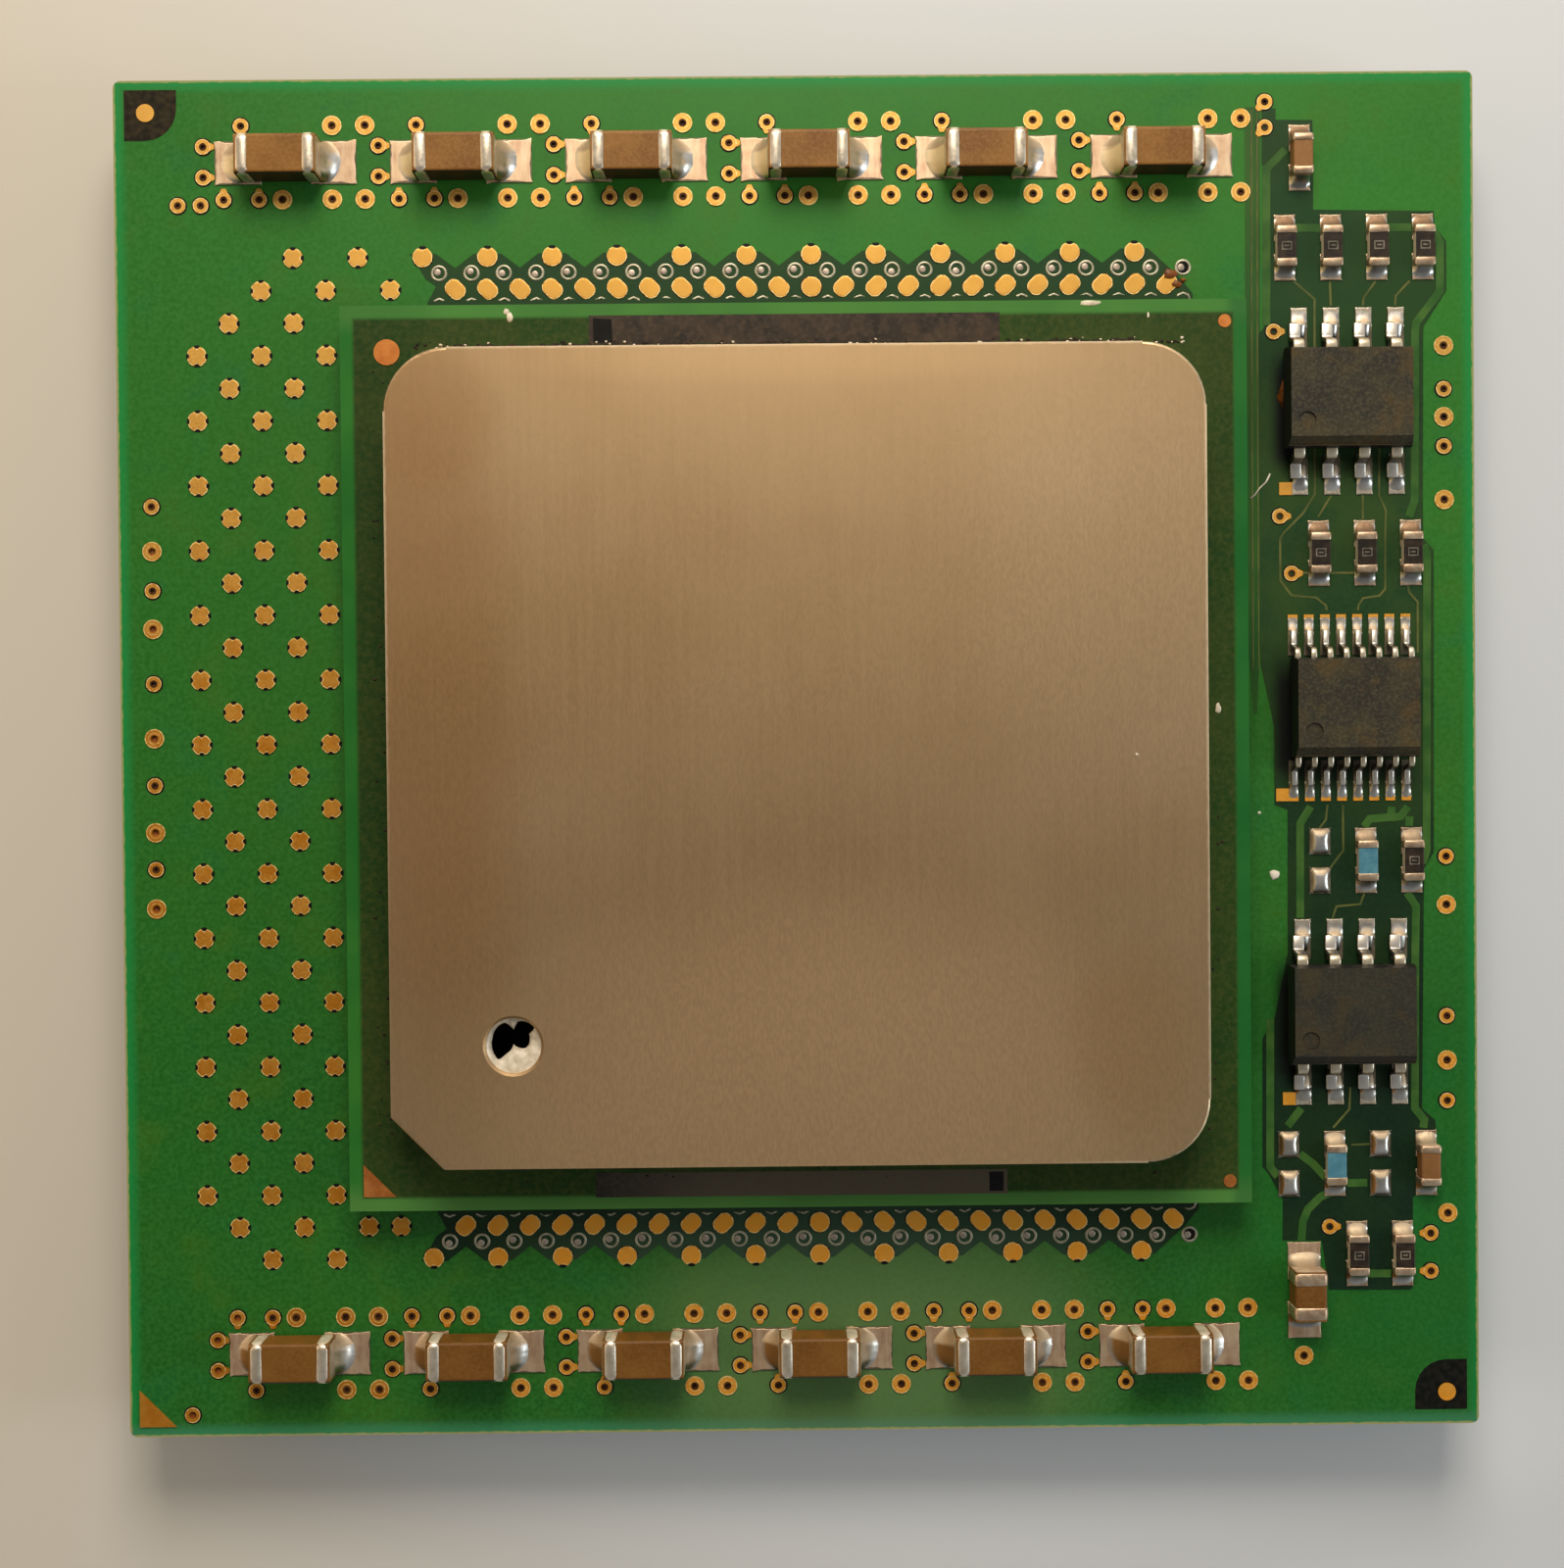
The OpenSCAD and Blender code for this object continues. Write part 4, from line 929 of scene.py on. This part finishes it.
def end_faces(name, turns):
    """Middle and outward direction of a two-ended part's end faces, its half width and half height."""
    lo, hi = span(name)
    mid = (lo + hi) / 2
    half = (hi - lo) / 2 + Vector((SKIN, SKIN, SKIN))
    for turn in turns:
        c, s = heading(turn)
        face = mid + Vector((half.x * c, half.y * s, 0))
        yield face, turn, half.y if turn in (0, 180) else half.x, half.z


def ceramic_body(name, turn, corner, paint="capacitor_ceramic"):
    lo, hi = span(name)
    mid, half = (lo + hi) / 2, (hi - lo) / 2
    if turn == 0:
        loops = [[(x, mid.y + v, mid.z + w) for v, w in soft_rect(half.y, half.z, corner)]
                 for x in (lo.x, hi.x)]
    else:
        loops = [[(mid.x + v, y, mid.z + w) for v, w in soft_rect(half.x, half.z, corner)]
                 for y in (lo.y, hi.y)]
    shape = Shape()
    shape.loft(loops)
    shape.make(name + "_body", paint, "capacitor_ceramic", False, (name,))


def bulk_capacitors():
    """Twelve large capacitors: rounded body and ends, fillets, and tarnished lands."""
    caps, solder, films = shapes(3)
    rnd = random.Random(11)
    for i in range(12):
        name = f"bulk_capacitor_{i + 1}"
        ceramic_body(name, 0, 0.13)
        land_x = BULK_X[i % 6]
        for face, turn, half_w, half_h in end_faces(name, (0, 180)):
            metal_cap(caps, rnd, face, turn, half_w, half_h, 0.54, 0.19, 0.26)
            fillet(solder, rnd, face.x, face.y, turn, 1.6, rnd.uniform(0.66, 0.8), rnd.uniform(0.95, 1.2))
            s = 1 if turn == 0 else -1
            outline = ragged(land_x + s * 1.0, face.y - 0.84, land_x + s * 2.77, face.y + 0.84, rnd, 0.08, 0.03)
            films.mound(outline, FOOT, FILM, FILM_BEVEL)
    caps.make("bulk_ends", "tin", "tin", True, ("bulk_capacitor_ends",))
    solder.make("bulk_solder", "solder", "solder", True, ("bulk_capacitor_solder",))
    films.make("bulk_land_films", "tarnish", "tin", True)


RESISTORS = [f"chip_resistor_{i}" for i in range(1, 11)]
FILM_RESISTORS = ["film_resistor_1", "film_resistor_2"]
SMALL_CAPACITORS = ["filter_capacitor_1", "filter_capacitor_2"]


def small_parts():
    """Ends, fillets and land tin of the parts that lie along Y."""
    caps, solder, films, dull, large = shapes(5)
    rnd = random.Random(23)

    def both_ends(name, cap, joints, joint, tin, inward, half, near, far, spike):
        for face, turn, half_w, half_h in end_faces(name, (90, -90)):
            s = 1 if turn == 90 else -1
            metal_cap(caps, rnd, face, turn, half_w, half_h, *cap)
            fillet(joints, rnd, face.x, face.y, turn, *joint)
            land_film(tin, rnd, face.x, face.y - s * inward, half, s * near, s * far, spike)

    for name in RESISTORS + FILM_RESISTORS + SMALL_CAPACITORS:
        soft, corner, rise = 0.045, 0.08, 0.36
        if name in SMALL_CAPACITORS:
            soft, corner, rise = 0.075, 0.11, 0.6
            ceramic_body(name, 90, 0.08, "pale_ceramic")
        both_ends(name, (0.3, soft, corner), solder, (0.82, 0.43, rise, 0.25),
                  films, 0.8, 0.41, 0.26, 1.29, 0.04)
    ceramic_body("input_capacitor", 90, 0.11)
    both_ends("input_capacitor", (0.57, 0.12, 0.17), large, (1.28, 0.5, 0.8, 0.2),
              dull, 1.0, 0.65, 0.45, 1.9, 0.03)
    caps.make("small_ends", "end_tin", "tin", True, ("small_part_ends",))
    solder.make("small_solder", "part_solder", "solder", True, ("small_part_solder",))
    large.make("input_solder", "solder", "solder", True)
    films.make("small_land_films", "end_tin", "tin", True)
    dull.make("input_land_films", "tarnish", "tin", True)


# Each chip's middle in Y, its leads a side, their pitch and the width of their lands.
CHIPS = {"memory": (13.75, 4, 1.27, 0.63), "sensor": (1.7, 8, 0.635, 0.38),
         "regulator": (-10.3, 4, 1.27, 0.63)}
LEAD_HALF_T = 0.1
LEAD_TIP = 3.05
LAND_END = 3.67


def lead_path(body, foot):
    """Middle line of a gull-wing lead, from inside the body out to the tip, and its height."""
    shoulder, bend, slope, reach = 0.14, 0.2, 80, 1.1
    c, s = heading(slope)
    run = (body - foot - 2 * bend * (1 - c)) / math.tan(math.radians(slope))
    toe = shoulder + 2 * bend * s + run
    path = [(-0.12, body), (0.04, body)]
    for k in range(6):
        c, s = heading(90 - slope * k / 5)
        path.append((shoulder + bend * c, body - bend + bend * s))
    for k in range(6):
        c, s = heading(270 - slope * (1 - k / 5))
        path.append((toe + bend * c, foot + bend + bend * s))
    return path + [(reach - 0.04, foot), (reach, foot)]


def chip_leads():
    """Leads with rounded edges, on the middle lines of the CAD's own."""
    for name, (_, leads, pitch, _) in CHIPS.items():
        node = name + "_leads"
        lo, hi = span(node)
        half = ((hi.x - lo.x) - (leads - 1) * pitch) / 2
        path = lead_path(hi.z - LEAD_HALF_T, lo.z + LEAD_HALF_T)
        last = len(path) - 1
        shape = Shape()
        for n in range(leads):
            x = lo.x + half + n * pitch
            for s, tip in ((1, hi.y), (-1, lo.y)):
                loops = []
                for k, (u, z) in enumerate(path):
                    (u0, z0), (u1, z1) = path[max(0, k - 1)], path[min(last, k + 1)]
                    far = math.hypot(u1 - u0, z1 - z0)
                    nu, nz = (z0 - z1) / far, (u1 - u0) / far
                    inset = 0.03 if k == last else 0.0
                    loops.append([(x + v, tip + s * (u + nu * w - path[-1][0]), z + nz * w)
                                  for v, w in soft_rect(half - inset, LEAD_HALF_T - inset, 0.07, 3)])
                shape.loft(loops)
        shape.make(node + "_rounded", "lead_tin", "tin", True, (node,))


def flare(shape, x, y, s, heel, toe):
    """Solder along the foot of a lead: narrow at the heel, nearly as wide as the land at the toe."""
    loops = []
    for k in range(6):
        t = k / 5
        half = heel + (toe - heel) * t ** 0.8
        rise = LAND_TOP - FOOT + 0.03 + 0.16 * math.sin(math.pi / 2 * t)
        loops.append([(x + half * math.cos(a), y + s * (2.42 + 0.66 * t), FOOT + rise * math.sin(a) ** 0.7)
                      for a in (math.pi * j / 10 for j in range(11))])
    shape.loft(loops)


def chip_solder():
    """Tinned lands under the chips' leads, and the solder at each foot and toe."""
    solder, films, tips, sides = shapes(4)
    rnd = random.Random(37)
    for name, (y, leads, pitch, width) in CHIPS.items():
        bare = 0.14 if name == "sensor" else 0.0
        for n in range(leads):
            x = COLUMN_X + (n - (leads - 1) / 2) * pitch
            for turn, s, rise, curve in ((90, 1, 0.1, 0.06), (-90, -1, 0.18, 0.16)):
                fillet(solder, rnd, x, y + s * LEAD_TIP, turn, width - 0.03, 0.5, rise, curve, 10, 14)
                land_film(films, rnd, x, y, width / 2, s * 2.9, s * (LAND_END - bare), 0.03)
                flare(sides, x, y, s, 0.3 * width, 0.48 * width)
                if bare:
                    tips.prism(rectangle(x - width / 2, y + s * (LAND_END - 0.18), x + width / 2,
                                         y + s * (LAND_END + 0.003)), FOOT, LAND_TOP + 0.004)
    solder.make("toe_solder", "solder", "solder", True, ("lead_solder",))
    sides.make("foot_solder", "solder", "solder", True)
    films.make("chip_land_films", "tin", "tin", True)
    tips.make("bare_land_tips", "gold", "gold")


def bare_solder():
    """Pillows of solder with pinched corners, on the lands that carry no part."""
    shape = Shape()
    rnd = random.Random(41)
    for x, y in ((20.49, -4.33), (19.19, -16.3), (22.81, -16.3)):
        for s in (1, -1):
            mid = y + s * 0.775
            lean = rnd.uniform(-0.1, 0.1)

            def place(a, b):
                t, r = 2 * b - 1, 2 * a - 1
                px = x + t * 0.43 * (1 - 0.2 * (1 - r * r)) + lean * 0.3 * (1 - r * r) * (1 - t * t)
                py = mid + r * 0.53 * (1 - 0.08 * (1 - t * t))
                far = (abs(t) ** 4 + abs(r) ** 4) ** 0.25
                h = 0.2 * max(0.0, 1 - far ** 3) ** 0.6
                return (px, py, LAND_TOP + h - 0.001)

            shape.field(place, 20, 18)
    shape.make("bare_solder", "solder", "solder", True, ("bare_land_solder",))


# Bars of the frame on a resistor: two along X, two along Y and one in the middle.
FRAME_BARS = ((-0.2, 0.12, 0.2, 0.165), (-0.2, -0.165, 0.2, -0.12), (-0.2, -0.12, -0.155, 0.12),
              (0.155, -0.12, 0.2, 0.12), (-0.09, -0.03, 0.09, 0.03))


def part_codes():
    """Plain pale frames on the small resistors."""
    shape = Shape()
    for name in RESISTORS:
        lo, hi = span(name)
        x, y = (lo.x + hi.x) / 2, (lo.y + hi.y) / 2
        for x0, y0, x1, y1 in FRAME_BARS:
            shape.prism(rectangle(x + x0, y + y0, x + x1, y + y1), hi.z - SINK, hi.z + 0.006)
    shape.make("resistor_fields", "code", "resistor_glaze")


def substrate_inks():
    shape, black = shapes(2)
    for bar in ((-8.0, 15.95, 7.85, 17.05), (-8.06, -17.05, 7.9, -16.1)):
        shape.prism(rectangle(*bar), SUB_TOP - SINK, SUB_TOP + 0.008)
    for blot in ([(-7.83, 16.0), (-7.08, 16.0), (-7.12, 16.9), (-7.83, 16.95)],
                 rectangle(7.2, -16.95, 7.75, -16.2)):
        black.prism(blot, SUB_TOP - SINK, SUB_TOP + 0.012)
    shape.make("substrate_inks", "ink", "substrate_laminate")
    black.make("substrate_blots", "black", "substrate_laminate")


def lump(shape, rnd, x, y, z, rx, ry, rz, n=10, m=5):
    """Small uneven grain of dirt that sits on z."""
    wob = [rnd.uniform(0.75, 1.2) for _ in range(n)]

    def place(a, b):
        ang = 2 * math.pi * b
        r = wob[round(b * n) % n] * math.sin(a * math.pi / 2)
        fall = math.cos(a * math.pi / 2)
        return (x + rx * r * math.cos(ang), y + ry * r * math.sin(ang), z - 0.003 + rz * fall)

    shape.field(place, m, n)


# Larger grains of dust: middle, what they lie on, half widths and height.
DUST = (
    (18.7, -4.87, BOARD_TOP, 0.24, 0.2, 0.08), (18.11, -2.42, BOARD_TOP, 0.07, 0.06, 0.04),
    (16.2, 1.7, SUB_TOP, 0.12, 0.2, 0.06), (-11.17, 17.22, SUB_TOP, 0.1, 0.13, 0.06),
    (-11.05, 17.02, SUB_TOP, 0.12, 0.2, 0.05), (11.35, 17.38, SUB_TOP, 0.42, 0.09, 0.05),
    (13.6, 16.9, SUB_TOP, 0.05, 0.11, 0.03), (12.68, -0.06, SPREADER_TOP, 0.07, 0.06, 0.03))
THREAD = [(18.62, 10.92), (18.46, 10.6), (18.2, 10.36), (18.02, 10.1), (17.84, 9.95)]
FLUX_FILM = [(19.47, 15.55), (18.91, 13.9), (19.17, 13.38), (19.46, 14.15)]
FLUX_GRAINS = ((14.7, 18.75, 0.3), (15.0, 18.4, 0.22), (15.25, 18.55, 0.12))
GRIME_COUNT = 320


def dirt():
    """Dust and a thread, brown flux, and grime round the foot of the spreader, most of it on the north."""
    rnd = random.Random(3)
    pale, brown, grime = shapes(3)
    for grain in DUST:
        lump(pale, rnd, *grain)
    pale.strip(THREAD, 0.055, FOOT, TRACE + 0.02)
    for x, y, r in FLUX_GRAINS:
        lump(brown, rnd, x, y, BOARD_TOP, r, r * 0.8, 0.1)
    brown.prism(FLUX_FILM, FOOT, TRACE + 0.022)
    lo, hi = span("heat_spreader")
    for _ in range(GRIME_COUNT):
        along, north = rnd.uniform(-15, 15), rnd.random() < 0.75
        side = 0 if north else rnd.choice((1, 2, 2, 3))
        out = 0.34 + (0.22 if north else 0.6) * rnd.random() ** 2
        x, y = ((along, hi.y + out), (along, lo.y - out), (lo.x - out, along), (hi.x + out, along))[side]
        size = rnd.uniform(0.02, 0.06)
        shape = pale if north and rnd.random() < 0.3 else grime
        lump(shape, rnd, x, y, SUB_TOP, size * rnd.uniform(0.8, 2), size, size, 8, 3)
    ridge = [(x / 5, hi.y + 0.46 + rnd.uniform(-0.07, 0.06)) for x in range(-66, 67)]
    grime.prism(ridge + [(13.2, hi.y + 0.02), (-13.2, hi.y + 0.02)], SUB_TOP - SINK, SUB_TOP + 0.014)
    pale.make("dust", "residue", "sealant", True)
    brown.make("flux_residue", "flux", "sealant", True)
    grime.make("grime_specks", "grime", "sealant", True)


# Vent hole, and the opening in the paste that half fills it, from the hole's middle.
VENT = (-10.95, -10.85)
VENT_R = 1.05
PASTE_HOLE = [(-0.371, 0.814), (-0.642, 0.679), (-0.869, 0.204), (-0.846, -0.294), (-0.642, -0.611),
              (-0.371, -0.385), (-0.077, 0.0), (0.398, -0.158), (0.511, -0.023), (0.525, 0.385),
              (0.760, 0.633), (0.579, 0.792), (0.308, 0.882), (0.059, 0.814), (-0.054, 0.520),
              (-0.167, 0.656)]
PASTE_MID = (-0.145, 0.249)
PASTE_STEPS = 64


def vent():
    """What shows in the vent hole: a dark hollow behind pale paste with a ragged opening."""
    black, paste = shapes(2)
    black.disc(*VENT, 1.6, SUB_TOP - SINK, SUB_TOP + 0.02, 32)
    mx, my = PASTE_MID
    rim = sorted((math.atan2(y - my, x - mx), math.hypot(x - mx, y - my)) for x, y in PASTE_HOLE)
    rim = [(rim[-1][0] - 2 * math.pi, rim[-1][1])] + rim + [(rim[0][0] + 2 * math.pi, rim[0][1])]
    rnd = random.Random(9)
    rough = [rnd.uniform(-0.03, 0.03) for _ in range(PASTE_STEPS)]

    def place(a, b):
        ang = -math.pi + 2 * math.pi * b
        for (a0, r0), (a1, r1) in zip(rim, rim[1:]):
            if a0 <= ang <= a1:
                inner = r0 + (r1 - r0) * (ang - a0) / (a1 - a0)
                break
        ux, uy = math.cos(ang), math.sin(ang)
        along = mx * ux + my * uy
        wall = -along + math.sqrt(along ** 2 - mx ** 2 - my ** 2 + (VENT_R + 0.01) ** 2)
        reach = inner + (wall - inner) * a
        swell = math.sin(math.pi * a)
        z = SPREADER_TOP - 0.22 - 0.5 * (1 - a) ** 4 - 0.06 * swell
        z += rough[round(b * PASTE_STEPS) % PASTE_STEPS] * swell
        return (VENT[0] + mx + ux * reach, VENT[1] + my + uy * reach, z)

    paste.field(place, 8, PASTE_STEPS)
    black.make("vent_floor", "black", "substrate_laminate")
    paste.make("vent_paste", "residue", "sealant", True)


board_windows()
traces()
gold_lands()
via_details()
pin_holes()
bulk_capacitors()
small_parts()
chip_leads()
chip_solder()
bare_solder()
part_codes()
substrate_inks()
dirt()
vent()


def placed(name, data):
    thing = bpy.data.objects.new(name, data)
    bpy.context.scene.collection.objects.link(thing)
    return thing


def camera():
    data = bpy.data.cameras.new("camera")
    data.sensor_fit = "HORIZONTAL"
    data.sensor_width = 36
    data.lens = 54.15
    data.clip_start = 0.001
    data.clip_end = 10
    view = placed("camera", data)
    turn = Matrix(((0.99994364, -0.00926411, 0.00518638), (0.00933784, 0.99985304, -0.01437735),
                   (-0.00505243, 0.01442497, 0.99988319))).transposed()
    place = Vector((-1.167, 0.230, BOARD_TOP + 92.660)) * MM
    view.matrix_world = Matrix.Translation(place) @ turn.to_4x4()
    bpy.context.scene.camera = view


def lamp(name, place, aim, size, watts, colour):
    data = bpy.data.lights.new(name, "AREA")
    data.shape = "DISK"
    data.size = size
    data.energy = watts
    data.color = colour
    light = placed(name, data)
    light.location = place
    light.rotation_euler = (Vector(aim) - Vector(place)).to_track_quat("-Z", "Y").to_euler()
    light.visible_camera = False


def studio():
    """World light: darker overhead than round the horizon, brighter to the north, warm west and cool east."""
    world = bpy.data.worlds.new("studio")
    bpy.context.scene.world = world
    world.use_nodes = True
    sky = Nodes(world.node_tree)
    x, y, z = sky.axes(sky.node("ShaderNodeTexCoord").outputs["Generated"])

    def spread(value, low, high, to_low, to_high):
        return sky.ramp(value, low, high, to_low, to_high, "LINEAR")

    tint = sky.node("ShaderNodeMix", data_type="RGBA")
    sky.put(tint.inputs[0], sky.math("ADD", spread(x, -1, 1, 0, 0.5), spread(y, -1, 1, 0.6, 0)))
    sky.put(tint.inputs[6], (1, 0.82, 0.6, 1))
    sky.put(tint.inputs[7], (0.88, 0.96, 1.04, 1))
    strength = sky.math("MULTIPLY", spread(z, 0.2, 1, 0.74, 0.18), spread(y, -1, 1, 0.42, 1.28))
    back = sky.tree.nodes["Background"].inputs
    sky.put(back["Color"], tint.outputs[2])
    sky.put(back["Strength"], strength)


def stage():
    mesh = bpy.data.meshes.new("floor")
    mesh.from_pydata([(-1, -1, 0), (1, -1, 0), (1, 1, 0), (-1, 1, 0)], [], [(0, 1, 2, 3)])
    p = Paint("floor", 0.2)
    p.coat(p.layers(
        # Warmer to the west and cooler to the east: painted tint of the warm and cool light.
        p.mix(p.ramp(p.x, -48, 10), (203, 193, 174), (205, 208, 211)),
        (p.times(p.noise(0.02, 2), 0.3), (200, 198, 194)),
        # Pale patch in the board's shadow to the south: painted light.
        (p.spot(5, -28, 32, 6.5, 0.42), (246, 248, 252))), 0.7)
    mesh.materials.append(p.mat)
    floor = placed("floor", mesh)


camera()
stage()
studio()
lamp("key", (0.002, 0.13, 0.13), (0, 0.01, 0), 0.1, 0.29, (1, 0.91, 0.79))
lamp("window", (0.22, -0.03, 0.12), (0.01, 0, 0), 0.1, 0.13, (0.8, 0.92, 1))
lamp("glow", (-0.18, 0.02, 0.08), (0, 0, 0), 0.13, 0.045, (1, 0.66, 0.3))
bpy.context.scene.view_settings.view_transform = "Standard"
